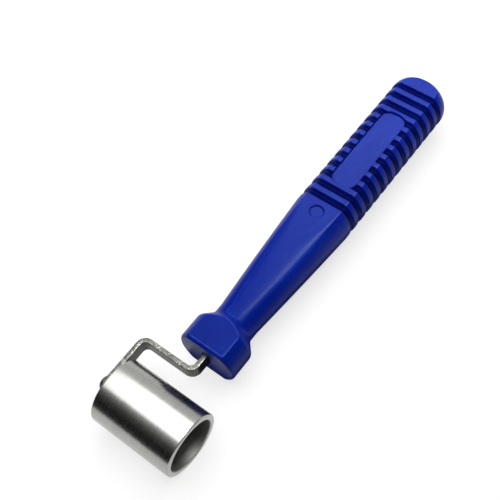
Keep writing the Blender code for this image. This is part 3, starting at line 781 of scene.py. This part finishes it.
def groove_drop(station):
    """How far the grip's surface is let down here: rounded land edges, drafted walls, filleted floors."""
    away = abs(station - FIRST_GROOVE - nearest_groove(station) * GROOVE_PITCH) - GROOVE_WIDTH / 2
    if away >= GROOVE_DRAFT + LAND_EDGE:
        return 0.0
    if away >= GROOVE_DRAFT:
        t = (LAND_EDGE + GROOVE_DRAFT - away) / LAND_EDGE
        return LAND_EDGE * (1.0 - math.sqrt(max(1.0 - t * t, 0.0)))
    if away >= -GROOVE_DRAFT:
        t = (GROOVE_DRAFT - away) / (2 * GROOVE_DRAFT)
        return LAND_EDGE + (GROOVE_DEPTH - GROOVE_FILLET - LAND_EDGE) * t
    t = min((-GROOVE_DRAFT - away) / GROOVE_FILLET, 1.0)
    return GROOVE_DEPTH - GROOVE_FILLET + GROOVE_FILLET * math.sqrt(max(1.0 - (1.0 - t) ** 2, 0.0))


def tail_wall(station):
    """From 0 at a groove's middle to 1 at its wall on the tail's side, where the painted shade is halved."""
    return clamped((station - FIRST_GROOVE - nearest_groove(station) * GROOVE_PITCH) / (GROOVE_WIDTH / 2))


def panel_distance(x, station):
    """The distance to the panel's rounded outline, less than 0 inside it."""
    middle = (PANEL_START + PANEL_END) / 2
    dx = abs(x) - PANEL_HALF_WIDTH + PANEL_CORNER
    ds = abs(station - middle) - (PANEL_END - PANEL_START) / 2 + PANEL_CORNER
    outside = math.hypot(max(dx, 0.0), max(ds, 0.0))
    return outside + min(max(dx, ds), 0.0) - PANEL_CORNER


def mark_distance(x, station):
    """The distance to the ejector mark's edge, less than 0 inside it."""
    return math.hypot(x, station - MARK_STATION) - MARK_RADIUS


def snapped(x, station, distance, band):
    """Moves a point near an outline to one side of it or the other, so that its wall stands steep."""
    here = distance(x, station)
    if abs(here) >= band:
        return x, station
    step = 0.01
    slope = Vector((distance(x + step, station) - here, distance(x, station + step) - here)) / step
    wanted = EDGE_WALL if here >= 0 else -EDGE_WALL
    moved = Vector((x, station)) + slope.normalized() * (wanted - here)
    return moved.x, moved.y


def blank_outline():
    """The handle's round outline from the guard's front edge to the tail, as (station, radius). Its two end
    corners only steer the arcs beside them, and are left out."""
    body = []
    for i in range(9):
        t = i / 8
        radius = NECK_RADIUS + (GRIP_RADIUS - NECK_RADIUS) * t + 4 * BODY_BULGE * t * (1 - t)
        body.append((NECK_END + (BODY_END - NECK_END) * t, radius, 0))
    return rounded([
        (0.0, 7.0, 0),
        (0.0, GUARD_RADIUS, GUARD_EDGE),
        (GUARD_LENGTH, GUARD_RADIUS, GUARD_CORNER),
        (NECK_START, NECK_RADIUS, NECK_FILLET),
        *body,
        (HANDLE_LENGTH, GRIP_RADIUS, TAIL_RADIUS),
        (HANDLE_LENGTH, 0.0, 0),
    ], steps=14)[1:-1]


def row_stations(outside):
    """Where the handle's mesh has its rows: close together wherever its shape changes."""
    stations = [station for station, _ in outside]
    stations += [first + step * i for first, step, count in EVEN_ROWS for i in range(count)]
    stations += [15.10, 15.20, 15.28, 15.36, BODY_FLAT_START, 15.6]
    for i in range(GROOVE_COUNT):
        middle = FIRST_GROOVE + i * GROOVE_PITCH
        half = GROOVE_WIDTH / 2
        for away in (GROOVE_DRAFT + LAND_EDGE, GROOVE_DRAFT + 0.20, GROOVE_DRAFT + 0.11, GROOVE_DRAFT + 0.04,
                     GROOVE_DRAFT, -GROOVE_DRAFT, -0.09, -0.17, -0.28, -0.8):
            stations += [middle - half - away, middle + half + away]
        stations.append(middle)
        stations.append(middle + GROOVE_PITCH / 2)
    return sorted(stations)


def handle_line():
    """The turned blank from the slot's blind end, out over the front face and along to the tail's middle."""
    outside = blank_outline()
    smallest_step = 0.025
    rows = []
    for station in row_stations(outside):
        if not 0.0 < station < HANDLE_LENGTH:
            continue
        if rows and station - rows[-1][0] < smallest_step:
            continue
        rows.append((station, interpolated(station, outside)))
    face = [(0.0, radius) for radius in (FACE_ROW, 4.2, 5.2, 6.5, 8.0, 9.3, GUARD_RADIUS - GUARD_EDGE)]
    slot = [(SLOT_DEPTH, 0.0), (SLOT_DEPTH, SLOT_ROW / 2), (SLOT_DEPTH, SLOT_ROW), (14.0, SLOT_ROW),
            (SLOT_CHAMFER, SLOT_ROW)]
    tail = [(HANDLE_LENGTH, radius) for radius in (GRIP_RADIUS - TAIL_RADIUS, 3.4, 1.7, 0.0)]
    return slot + face + rows + tail


def column_angle(index, crease, radius):
    """Where a column of the mesh runs: columns gather at the ledges, the crease and the panel's sides. The
    rows below are a column's number in the quarter and its angle."""
    ledge = math.asin(GROOVE_LEDGE / GRIP_RADIUS)
    ledge_top = math.asin((GROOVE_LEDGE + GROOVE_DEPTH) / GRIP_RADIUS)
    grip_crease = math.asin(GRIP_FLAT / GRIP_RADIUS)
    spread = math.pi / 2 - crease
    sides = [(math.acos((PANEL_HALF_WIDTH + gap) / GRIP_RADIUS) - grip_crease) / (math.pi / 2 - grip_crease)
             for gap in (0.07, -0.07)]
    beside = 0.25 / radius
    return interpolated(index, [
        (0, 0.0),
        (2, ledge),
        (6, ledge_top),
        (25, crease - beside),
        (26, crease),
        (27, crease + beside),
        (33, crease + spread * sides[0]),
        (34, crease + spread * sides[1]),
        (QUADRANT, math.pi / 2),
    ])


def slot_point(angle, grow):
    """A point on the slot's outline in the given direction."""
    wide = (SLOT_HALF_WIDTH + grow) / max(math.cos(angle), 1e-6)
    high = (SLOT_HALF_HEIGHT + grow) / max(math.sin(angle), 1e-6)
    reach = min(wide, high)
    return reach * math.cos(angle), reach * math.sin(angle)


def near(distance, width):
    """1 on a line and fading to 0 beside it."""
    return math.exp(-(distance / width) ** 2)


def flat_margin(blank, angle, height, station):
    """How far inside a flat's outline a point lies; the outline's front corners are rounded.

    Lean is how much the blank's radius changes along the handle: much behind the guard, little elsewhere.
    """
    lean = 0.9 if GUARD_LENGTH < station < NECK_START else 0.06
    across = (blank * math.sin(angle) - height) / math.hypot(math.cos(angle), lean * math.sin(angle)) - 0.1
    front = station - GUARD_EDGE if station < NECK_START else station - BODY_FLAT_START
    corner = GUARD_FLAT_CORNER
    if across < corner and front < corner:
        return corner - math.hypot(corner - across, corner - front)
    return min(across, front)


def handle_point(index, station, radius, upper):
    """Where a point of the turned blank lies on the moulded handle, in its first quarter, and how much
    painted edge highlight, partly edge wear, and how much painted shade its colour takes there."""
    rim = GUARD_RADIUS - GUARD_EDGE
    in_slot = radius < (SLOT_ROW + FACE_ROW) / 2 and station < SLOT_DEPTH + 1.0
    on_face = station < 1e-4 and not in_slot
    blank = rim if in_slot or on_face else max(radius, 0.01)
    height = flat_height(0.0 if in_slot else station)
    crease = min(max(math.asin(min(height / blank, 0.985)), math.radians(45)), math.radians(80))
    angle = column_angle(index, crease, blank)
    if in_slot:
        x, z = slot_point(angle, 0.0)
        share = min(radius / SLOT_ROW, 1.0)
        # The slot's walls take full painted shade
        return x * share, z * share, station, 0.0, 1.0
    x = blank * math.cos(angle)
    on_body = clamped((station - NECK_START) / 3.0) * clamped((BODY_END - station) / 14.0)
    z = soft_min(blank * math.sin(angle), height, interpolated(station, CREASE_SOFTNESS))
    # A painted highlight line along the flats' outlines, partly edge wear, fainter along the body
    wear_and_highlight = near(flat_margin(blank, angle, height, station), 0.17) * (1.0 - 0.6 * on_body)
    if on_face:
        inner_x, inner_z = slot_point(angle, SLOT_CHAMFER)
        t = (rim - radius) / (rim - FACE_ROW)
        return x + (inner_x - x) * t, z + (inner_z - z) * t, station, 0.0, 0.0
    by_panel = z > PANEL_LEAST_HEIGHT and PANEL_START - 1.0 < station < PANEL_END + 1.0
    by_mark = upper and z > MARK_LEAST_HEIGHT and abs(station - MARK_STATION) < MARK_RADIUS + 0.6
    if by_panel:
        x, station = snapped(x, station, panel_distance, PANEL_BAND)
    if by_mark:
        x, station = snapped(x, station, mark_distance, MARK_BAND)
    drop = groove_drop(station) if station > BODY_END else 0.0
    lowered = max(z - drop, min(z, GROOVE_LEDGE))
    # Painted shade in the grooves, by their depth, halved on the wall on the tail's side
    recess_shade = min((z - lowered) / GROOVE_DEPTH, 1.0) * (1.0 - 0.5 * tail_wall(station))
    if by_panel:
        edge = panel_distance(x, station)
        inside = clamped(0.5 - edge / (2 * EDGE_WALL))
        lowered += (PANEL_FLOOR - lowered) * inside
        # Painted shade along the inside of the panel's rim
        recess_shade = max(recess_shade * (1.0 - inside), 0.6 * near(edge + 0.1, 0.2))
    if by_mark:
        edge = mark_distance(x, station)
        lowered -= MARK_DEPTH * clamped(0.5 - edge / (2 * EDGE_WALL))
        # Painted shade round the mark's edge, with a painted shadow deepest on its tail side
        ahead = max((station - MARK_STATION) / MARK_RADIUS, 0.0)
        recess_shade = max(recess_shade, (0.2 + 0.6 * ahead) * near(edge + 0.1, 0.25))
    return x, lowered, station, wear_and_highlight * (1.0 - recess_shade), recess_shade


def build_handle(material):
    """The moulded handle: a turned blank whose surface is pressed into the mould's shape."""
    work = spun(handle_line(), 4 * QUADRANT, "Y")
    step = math.pi / 2 / QUADRANT
    # The colour's painted edge highlight, partly edge wear, and its painted shade in recesses
    wear_and_highlight = work.verts.layers.float.new("wear_and_highlight")
    recess_shade = work.verts.layers.float.new("recess_shade")
    for vert in work.verts:
        x, station, z = vert.co
        radius = math.hypot(x, z)
        index = round(math.atan2(abs(z), abs(x)) / step) if radius > 1e-6 else 0
        px, pz, ps, vert[wear_and_highlight], vert[recess_shade] = handle_point(index, station, radius, z > 0)
        if radius < 1e-6:
            px, pz = 0.0, 0.0
        vert.co = (math.copysign(px, x), ps, math.copysign(pz, z))
    low, high = node_box("handle")
    origin = Vector(((low.x + high.x) / 2, low.y, (low.z + high.z) / 2))
    bmesh.ops.recalc_face_normals(work, faces=work.faces)
    return new_piece("moulded_handle", work, placed(origin), material, "frame", ["handle"])


# Turned steel pieces -----------------------------------------------------------------------------

def turned_piece(name, node, line, material, body, steps=SMALL_STEPS, closed=True):
    """A piece turned about X from a line of (station, radius), stations counted from its low end."""
    low, high = node_box(node)
    origin = Vector((low.x, (low.y + high.y) / 2, (low.z + high.z) / 2))
    return new_piece(name, spun(line, steps, "X", closed), placed(origin), material, body, [node])


def build_roller(material):
    """The steel tube: rounded rims, a chamfered mouth and the lip that stops the first bearing."""
    line = rounded([
        (ROLLER_LENGTH - BORE_CHAMFER, BORE_RADIUS, 0.05),
        (ROLLER_LENGTH, BORE_RADIUS + BORE_CHAMFER, 0.06),
        (ROLLER_LENGTH, ROLLER_RADIUS, ROLLER_EDGE),
        (0.0, ROLLER_RADIUS, ROLLER_EDGE),
        (0.0, LIP_RADIUS, 0.1),
        (LIP_WIDTH, LIP_RADIUS, 0.1),
        (LIP_WIDTH, BORE_RADIUS, 0),
    ], steps=6, closed=True)
    roller = turned_piece("turned_roller", "roller", line, material, "roller", ROLLER_STEPS)
    low, high = node_box("roller")
    bored = roller.data.attributes.new("bored", "FLOAT", "POINT")
    for vert, value in zip(roller.data.vertices, bored.data):
        out = math.hypot(vert.co.y - (low.y + high.y) / 2, vert.co.z - (low.z + high.z) / 2)
        value.value = 1.0 if out < (BORE_RADIUS + 0.1) * MM else 0.0
    return roller


def build_axle(material):
    """The turned pin: a peened head, the shank through the arm's eye, collar, journal and grooved tip."""
    low, high = node_box("axle")
    length = (high.x - low.x) / MM
    leg_low = node_box("arm")[0].x / MM
    head = leg_low - low.x / MM - SEAT_GAP
    collar = head + SEAT_GAP + STRAP_THICKNESS + SEAT_GAP
    ring_low = node_box("bearing_1_inner_ring")[0].x / MM - low.x / MM
    clip_low, clip_high = (side.x / MM - low.x / MM for side in node_box("e_clip"))
    turns = [i * math.pi / 16 for i in range(9)]
    dome = [(head * (1 - math.cos(turn)), HEAD_RADIUS * math.sin(turn)) for turn in turns]
    line = dome + rounded([
        (head, HEAD_RADIUS - 0.05, 0),
        (head, SHANK_RADIUS, 0),
        (collar, SHANK_RADIUS, 0),
        (collar, COLLAR_RADIUS, 0.2),
        (ring_low - SEAT_GAP, COLLAR_RADIUS, 0.2),
        (ring_low - SEAT_GAP, JOURNAL_RADIUS, 0),
        (clip_low - SEAT_GAP, JOURNAL_RADIUS, 0.05),
        (clip_low - SEAT_GAP, CLIP_GROOVE_RADIUS, 0),
        (clip_high + SEAT_GAP, CLIP_GROOVE_RADIUS, 0),
        (clip_high + SEAT_GAP, JOURNAL_RADIUS, 0.05),
        (length, JOURNAL_RADIUS, 0.4),
        (length, 0.0, 0),
    ], steps=4)
    return turned_piece("turned_axle", "axle", line, material, "frame", closed=False)


def race_arc(land, side):
    """The ball's track across a ring, from the high station to the low one."""
    half = math.acos(abs(land - PITCH_RADIUS) / TRACK_RADIUS)
    angles = [half - 2 * half * i / 12 for i in range(13)]
    return [(BEARING_WIDTH / 2 + TRACK_RADIUS * math.sin(angle),
             PITCH_RADIUS + side * TRACK_RADIUS * math.cos(angle)) for angle in angles]


def inner_ring_line():
    """The inner ring's section: bore with broken edges, rounded rims and the ball's track."""
    width = BEARING_WIDTH
    land = INNER_LAND
    bore = BEARING_BORE_RADIUS
    high_end = [(width - 0.15, bore), (width, bore + 0.15), (width, land - RING_EDGE),
                (width - 0.09, land - 0.09), (width - RING_EDGE, land)]
    low_end = [(RING_EDGE, land), (0.09, land - 0.09), (0.0, land - RING_EDGE),
               (0.0, bore + 0.15), (0.15, bore)]
    return high_end + race_arc(land, -1) + low_end


def outer_ring_line():
    """The outer ring's section: rounded rims, a rebate at each end for a shield, and the ball's track."""
    width = BEARING_WIDTH
    land = OUTER_LAND
    outside = BEARING_RADIUS
    rebate = land + REBATE_DEPTH
    skin = [(width, rebate + 0.05), (width, outside - RING_EDGE), (width - 0.09, outside - 0.09),
            (width - RING_EDGE, outside), (RING_EDGE, outside), (0.09, outside - 0.09),
            (0.0, outside - RING_EDGE), (0.0, rebate + 0.05)]
    low_seat = [(0.05, rebate), (REBATE_WIDTH, rebate), (REBATE_WIDTH, land)]
    high_seat = [(width - REBATE_WIDTH, land), (width - REBATE_WIDTH, rebate), (width - 0.05, rebate)]
    return skin + low_seat + race_arc(land, 1)[::-1] + high_seat


def build_bearing(number, ring_steel, shield_steel):
    """A shielded ball bearing: two ground rings and two pressed shields with raised rims."""
    name = f"bearing_{number}"
    turned_piece(name + "_ground_inner_ring", name + "_inner_ring", inner_ring_line(), ring_steel, "frame")
    turned_piece(name + "_ground_outer_ring", name + "_outer_ring", outer_ring_line(), ring_steel, "roller")
    shield = [(0.3, 5.15), (0.3, 5.5), (0.3, 5.7), (0.3, 7.5), (0.3, 7.7), (0.3, 8.35),
              (0.0, 8.35), (0.0, 7.7), (0.05, 7.55), (0.05, 5.7), (0.0, 5.55), (0.0, 5.15)]
    for end in ("arm", "open"):
        turned_piece(f"{name}_pressed_{end}_shield", f"{name}_{end}_shield", shield, shield_steel, "roller")


def build_small_rings(shield_steel):
    """The spacer sleeve between the bearings and the thrust washer against the second one."""
    low, high = node_box("spacer_sleeve")
    length = (high.x - low.x) / MM
    for name, node, thickness, outside, bore_edge, outer_edge in (
        ("cut_spacer_sleeve", "spacer_sleeve", length, 4.3, 0.1, 0.3),
        ("stamped_thrust_washer", "thrust_washer", 0.8, 4.8, 0.08, 0.15),
    ):
        line = rounded([
            (thickness, BEARING_BORE_RADIUS, bore_edge),
            (thickness, outside, outer_edge),
            (0.0, outside, outer_edge),
            (0.0, BEARING_BORE_RADIUS, bore_edge),
        ], steps=4, closed=True)
        turned_piece(name, node, line, shield_steel, "frame")


def build_clip(material):
    """The retaining ring: an open ring with three lugs that reach into the axle's groove."""
    low = node_box("e_clip")[0]
    axle_low, axle_high = node_box("axle")
    mouth = math.radians(37)
    lug = math.radians(44)
    section = ((0.0, CLIP_INSIDE), (CLIP_THICKNESS, CLIP_INSIDE), (CLIP_THICKNESS, CLIP_OUTSIDE),
               (0.0, CLIP_OUTSIDE))
    work = bmesh.new()
    corners = [work.verts.new((x, radius, 0.0)) for x, radius in section]
    start = work.faces.new(corners)
    bmesh.ops.rotate(work, verts=corners, cent=(0, 0, 0), matrix=Matrix.Rotation(mouth, 3, "X"))
    bmesh.ops.spin(work, geom=[start], cent=(0, 0, 0), axis=(1, 0, 0), dvec=(0, 0, 0),
                   angle=math.tau - 2 * mouth, steps=SMALL_STEPS, use_merge=False, use_duplicate=False)
    for vert in work.verts:
        x, y, z = vert.co
        radius = math.hypot(y, z)
        if radius > (CLIP_INSIDE + CLIP_OUTSIDE) / 2:
            continue
        angle = abs(math.atan2(z, y))
        from_back = math.pi - angle
        from_mouth = angle - mouth
        inside_lug = max(lug / 2 - from_back, lug - from_mouth)
        reach = clamped(inside_lug / CLIP_LUG_SLOPE)
        wanted = CLIP_INSIDE - CLIP_LUG_REACH * reach
        vert.co = (x, y * wanted / radius, z * wanted / radius)
    bmesh.ops.recalc_face_normals(work, faces=work.faces)
    sharp = [edge for edge in work.edges if edge.is_manifold and edge.calc_face_angle() > math.radians(50)]
    bmesh.ops.bevel(work, geom=sharp, offset=0.06, offset_type="OFFSET", segments=2, profile=0.5,
                    affect="EDGES", material=-1)
    origin = Vector((low.x, (axle_low.y + axle_high.y) / 2, (axle_low.z + axle_high.z) / 2))
    return new_piece("blackened_e_clip", work, placed(origin), material, "frame", ["e_clip"])


# Arm ---------------------------------------------------------------------------------------------

def build_arm(material):
    """The strap: a flat eye, two bends and a barbed tang, made as a sheet and then given its thickness."""
    low, high = node_box("arm")
    roller_low, roller_high = node_box("roller")
    axis = Vector((0.0, (roller_low.y + roller_high.y) / 2, (roller_low.z + roller_high.z) / 2))
    half = STRAP_HEIGHT / 2
    outer_bend = BEND_RADIUS + STRAP_THICKNESS
    span = (high.x - low.x) / MM
    tip = (high.y - axis.y) / MM
    work = bmesh.new()
    rim = bmesh.ops.create_circle(work, segments=48, radius=half, cap_ends=False)["verts"]
    for vert in rim:
        x, y = vert.co.xy
        if y > 1e-4:
            grow = half / max(abs(x), abs(y))
            vert.co = (x * grow, y * grow, 0.0)
    bmesh.ops.create_circle(work, segments=48, radius=EYE_RADIUS, cap_ends=False)
    bmesh.ops.bridge_loops(work, edges=work.edges[:])
    edge = [item for item in work.edges
            if item.is_boundary and all(abs(vert.co.y - half) < 1e-4 for vert in item.verts)]
    stand_up = Matrix(((0, 0, 1, 0), (0, 1, 0, 0), (-1, 0, 0, 0), (0, 0, 0, 1)))
    bmesh.ops.transform(work, matrix=stand_up, verts=work.verts)

    def carried(edges, move):
        """Extrudes the sheet's leading edge straight on."""
        made = bmesh.ops.extrude_edge_only(work, edges=edges)["geom"]
        verts = [item for item in made if isinstance(item, bmesh.types.BMVert)]
        bmesh.ops.translate(work, vec=move, verts=verts)
        return [item for item in made if isinstance(item, bmesh.types.BMEdge)
                and all(vert in verts for vert in item.verts)]

    def bent(edges, centre, angle):
        """Carries the sheet's leading edge round a bend."""
        made = bmesh.ops.spin(work, geom=edges, cent=centre, axis=(0, 0, 1), dvec=(0, 0, 0), angle=angle,
                              steps=16, use_merge=False, use_duplicate=False)["geom_last"]
        return [item for item in made if isinstance(item, bmesh.types.BMEdge)]

    edge = carried(edge, (0, STRAP_CROSS - outer_bend - half, 0))
    edge = bent(edge, (outer_bend, STRAP_CROSS - outer_bend, 0), -math.pi / 2)
    edge = carried(edge, (span - STRAP_THICKNESS - BEND_RADIUS - outer_bend, 0, 0))
    edge = bent(edge, (span - STRAP_THICKNESS - BEND_RADIUS, STRAP_CROSS + BEND_RADIUS, 0), math.pi / 2)
    here = STRAP_CROSS + BEND_RADIUS
    for station, height in TANG_OUTLINE:
        ahead = tip - TANG_LENGTH + station
        edge = carried(edge, (0, ahead - here, 0))
        ends = {vert for item in edge for vert in item.verts}
        grow = height / max(abs(vert.co.z) for vert in ends)
        for vert in ends:
            vert.co.z *= grow
        here = ahead
    bmesh.ops.recalc_face_normals(work, faces=work.faces)
    eye = min(work.faces, key=lambda face: face.calc_center_median().y)
    if eye.normal.x > 0:
        bmesh.ops.reverse_faces(work, faces=work.faces)
    bmesh.ops.solidify(work, geom=work.faces[:] + work.edges[:] + work.verts[:], thickness=STRAP_THICKNESS)
    bmesh.ops.recalc_face_normals(work, faces=work.faces)
    sharp = [item for item in work.edges if item.is_manifold and item.calc_face_angle() > math.radians(50)]
    bmesh.ops.bevel(work, geom=sharp, offset=0.2, offset_type="OFFSET", segments=3, profile=0.5,
                    affect="EDGES", material=-1)
    origin = Vector((low.x, axis.y, axis.z))
    return new_piece("bent_strap_arm", work, placed(origin), material, "frame", ["arm"])


# Studio ------------------------------------------------------------------------------------------

# Lengths from here on are in metres, as the frame's are
GROUND = cad_bounds[0][2]
FLOOR_HALF = 3.0
FLOOR_FLAT = 1.6                 # the paper lies flat out to this distance and then curves up
FLOOR_CURVE = 1.4
FLOOR_RIM = 0.46
FLAG_HEIGHT = 0.06
FLAG_GAP = 0.0003                # the lying flag is this far above the paper
CAMERA_PLACE = (0.10055, -0.1245, 0.2786)
CAMERA_AIM = (-0.00942, -0.00857, 0.012)
CAMERA_ROLL = -7.4               # degrees
CAMERA_LENS = 61.44              # millimetres


def build_paper_floor():
    """A sheet of paper under the object, whose far edges curve up all round it like a backdrop."""
    work = bmesh.new()
    bmesh.ops.create_grid(work, x_segments=48, y_segments=48, size=FLOOR_HALF)
    for vert in work.verts:
        t = clamped((vert.co.length - FLOOR_FLAT) / FLOOR_CURVE)
        vert.co.z = FLOOR_RIM * t * t * (3.0 - 2.0 * t)
    mesh = bpy.data.meshes.new("paper_floor")
    work.to_mesh(mesh)
    work.free()
    mesh.materials.append(studio_paper())
    floor = bpy.data.objects.new("paper_floor", mesh)
    floor.location = (0.0, 0.0, GROUND)
    bpy.context.scene.collection.objects.link(floor)


def build_flags():
    """Two black flags that only reflections show: one stands beyond the arm's side of the roller and gives
    its steel a dark band, and one lies under the handle as a painted shadow: it stands for the handle's
    shadow on the paper, where the paper would shine in its lower edges."""
    cloth = black_flag_cloth()
    upright = (math.pi / 2, 0.0, math.radians(-13))
    lying = (0.0, 0.0, 0.0)
    for name, place, turn, wide, deep in (
        ("black_flag", (-0.215, -0.124, GROUND + FLAG_HEIGHT / 2), upright, 0.60, FLAG_HEIGHT),
        # A painted shadow: a dark sheet under the handle, seen only in reflections
        ("painted_shadow_flag", (0.008, 0.01825, GROUND + FLAG_GAP), lying, 0.030, 0.1475),
    ):
        work = bmesh.new()
        bmesh.ops.create_grid(work, x_segments=8, y_segments=4, size=0.5)
        mesh = bpy.data.meshes.new(name)
        work.to_mesh(mesh)
        work.free()
        mesh.materials.append(cloth)
        flag = bpy.data.objects.new(name, mesh)
        flag.rotation_euler = turn
        flag.scale = (wide, deep, 1.0)
        flag.location = place
        flag.visible_camera = False
        flag.visible_diffuse = False
        flag.visible_shadow = False
        flag.visible_transmission = False
        bpy.context.scene.collection.objects.link(flag)


def build_softboxes():
    """A wide softbox that gives nearly all the light, and a narrow one that only shows as a sheen. Both face
    straight down."""
    for name, place, wide, deep, power, lights_matt in (
        ("overhead_softbox", (-0.21, 0.389, 1.20), 1.43, 1.90, 24.0, True),
        ("strip_softbox", (0.14, 0.13, 1.15), 0.18, 0.52, 22.0, False),
    ):
        lamp = bpy.data.lights.new(name, "AREA")
        lamp.shape = "RECTANGLE"
        lamp.size = wide
        lamp.size_y = deep
        lamp.energy = power
        softbox = bpy.data.objects.new(name, lamp)
        softbox.location = place
        softbox.visible_camera = False
        softbox.visible_diffuse = lights_matt
        bpy.context.scene.collection.objects.link(softbox)


def build_walls():
    """The studio's walls: dark, but for the lit middle of the back wall and a paler ceiling. They show in
    reflections in full, and light matt surfaces a quarter as much."""
    world = bpy.data.worlds.new("studio_walls")
    world.use_nodes = True
    tree = world.node_tree
    tree.nodes.clear()
    towards = add(tree, "SeparateXYZ", None, {"Vector": add(tree, "TexCoord", "Generated")})
    back_wall = add(tree, "MapRange", "Result", {
        "Value": towards["Y"],
        "From Min": 0.1,
        "From Max": 0.6,
        "To Min": 0.05,
        "To Max": 0.98,
    })
    sideways = add(tree, "Math", 0, {0: towards["X"], 1: 0.35}, operation="ADD")
    sideways = add(tree, "Math", 0, {0: sideways}, operation="ABSOLUTE")
    back_wall = add(tree, "Math", 0, {
        0: back_wall,
        1: add(tree, "MapRange", "Result", {
            "Value": sideways,
            "From Min": 0.3,
            "From Max": 0.65,
            "To Min": 1.0,
            "To Max": 0.05,
        }),
    }, operation="MULTIPLY")
    ceiling = add(tree, "MapRange", "Result", {
        "Value": towards["Z"],
        "From Min": 0.62,
        "From Max": 0.95,
        "To Min": 0.05,
        "To Max": 0.6,
    })
    bright = add(tree, "Math", 0, {0: back_wall, 1: ceiling}, operation="MAXIMUM")
    soft = add(tree, "LightPath", "Is Diffuse Ray")
    strength = add(tree, "Math", 0, {
        0: bright,
        1: add(tree, "MapRange", "Result", {"Value": soft, "To Min": 1.0, "To Max": 0.25}),
    }, operation="MULTIPLY")
    back = add(tree, "Background", "Background", {"Color": linear("#FFFFFF"), "Strength": strength})
    add(tree, "OutputWorld", None, {"Surface": back})
    bpy.context.scene.world = world


def build_camera():
    """The camera: high on the roller's side, rolled a little, with a short telephoto lens."""
    data = bpy.data.cameras.new("camera")
    data.sensor_width = 36.0
    data.lens = CAMERA_LENS
    data.clip_start = 0.01
    data.clip_end = 20.0
    camera = bpy.data.objects.new("camera", data)
    place = Vector(CAMERA_PLACE)
    upright = (Vector(CAMERA_AIM) - place).to_track_quat("-Z", "Y").to_matrix()
    rolled = upright @ Matrix.Rotation(math.radians(CAMERA_ROLL), 3, "Z")
    camera.matrix_world = Matrix.Translation(place) @ rolled.to_4x4()
    bpy.context.scene.collection.objects.link(camera)
    bpy.context.scene.camera = camera


def dress(node, material):
    """Gives a CAD node its material."""
    item = bpy.data.objects[node]
    item.data.materials.clear()
    item.data.materials.append(material)


steel = turned_steel()
ring_steel = ground_bearing_steel()
shield_steel = pressed_shield_steel()
nylon = moulded_nylon()

build_camera()
build_paper_floor()
build_flags()
build_softboxes()
build_walls()
build_handle(moulded_polypropylene())
build_roller(steel)
build_axle(steel)
build_arm(sheared_strap_steel())
for number in (1, 2):
    build_bearing(number, ring_steel, shield_steel)
    dress(f"bearing_{number}_cage", nylon)
    for ball in range(1, 8):
        dress(f"bearing_{number}_ball_{ball}", ring_steel)
build_small_rings(shield_steel)
build_clip(blackened_spring_steel())

bpy.context.scene.view_settings.view_transform = "Standard"
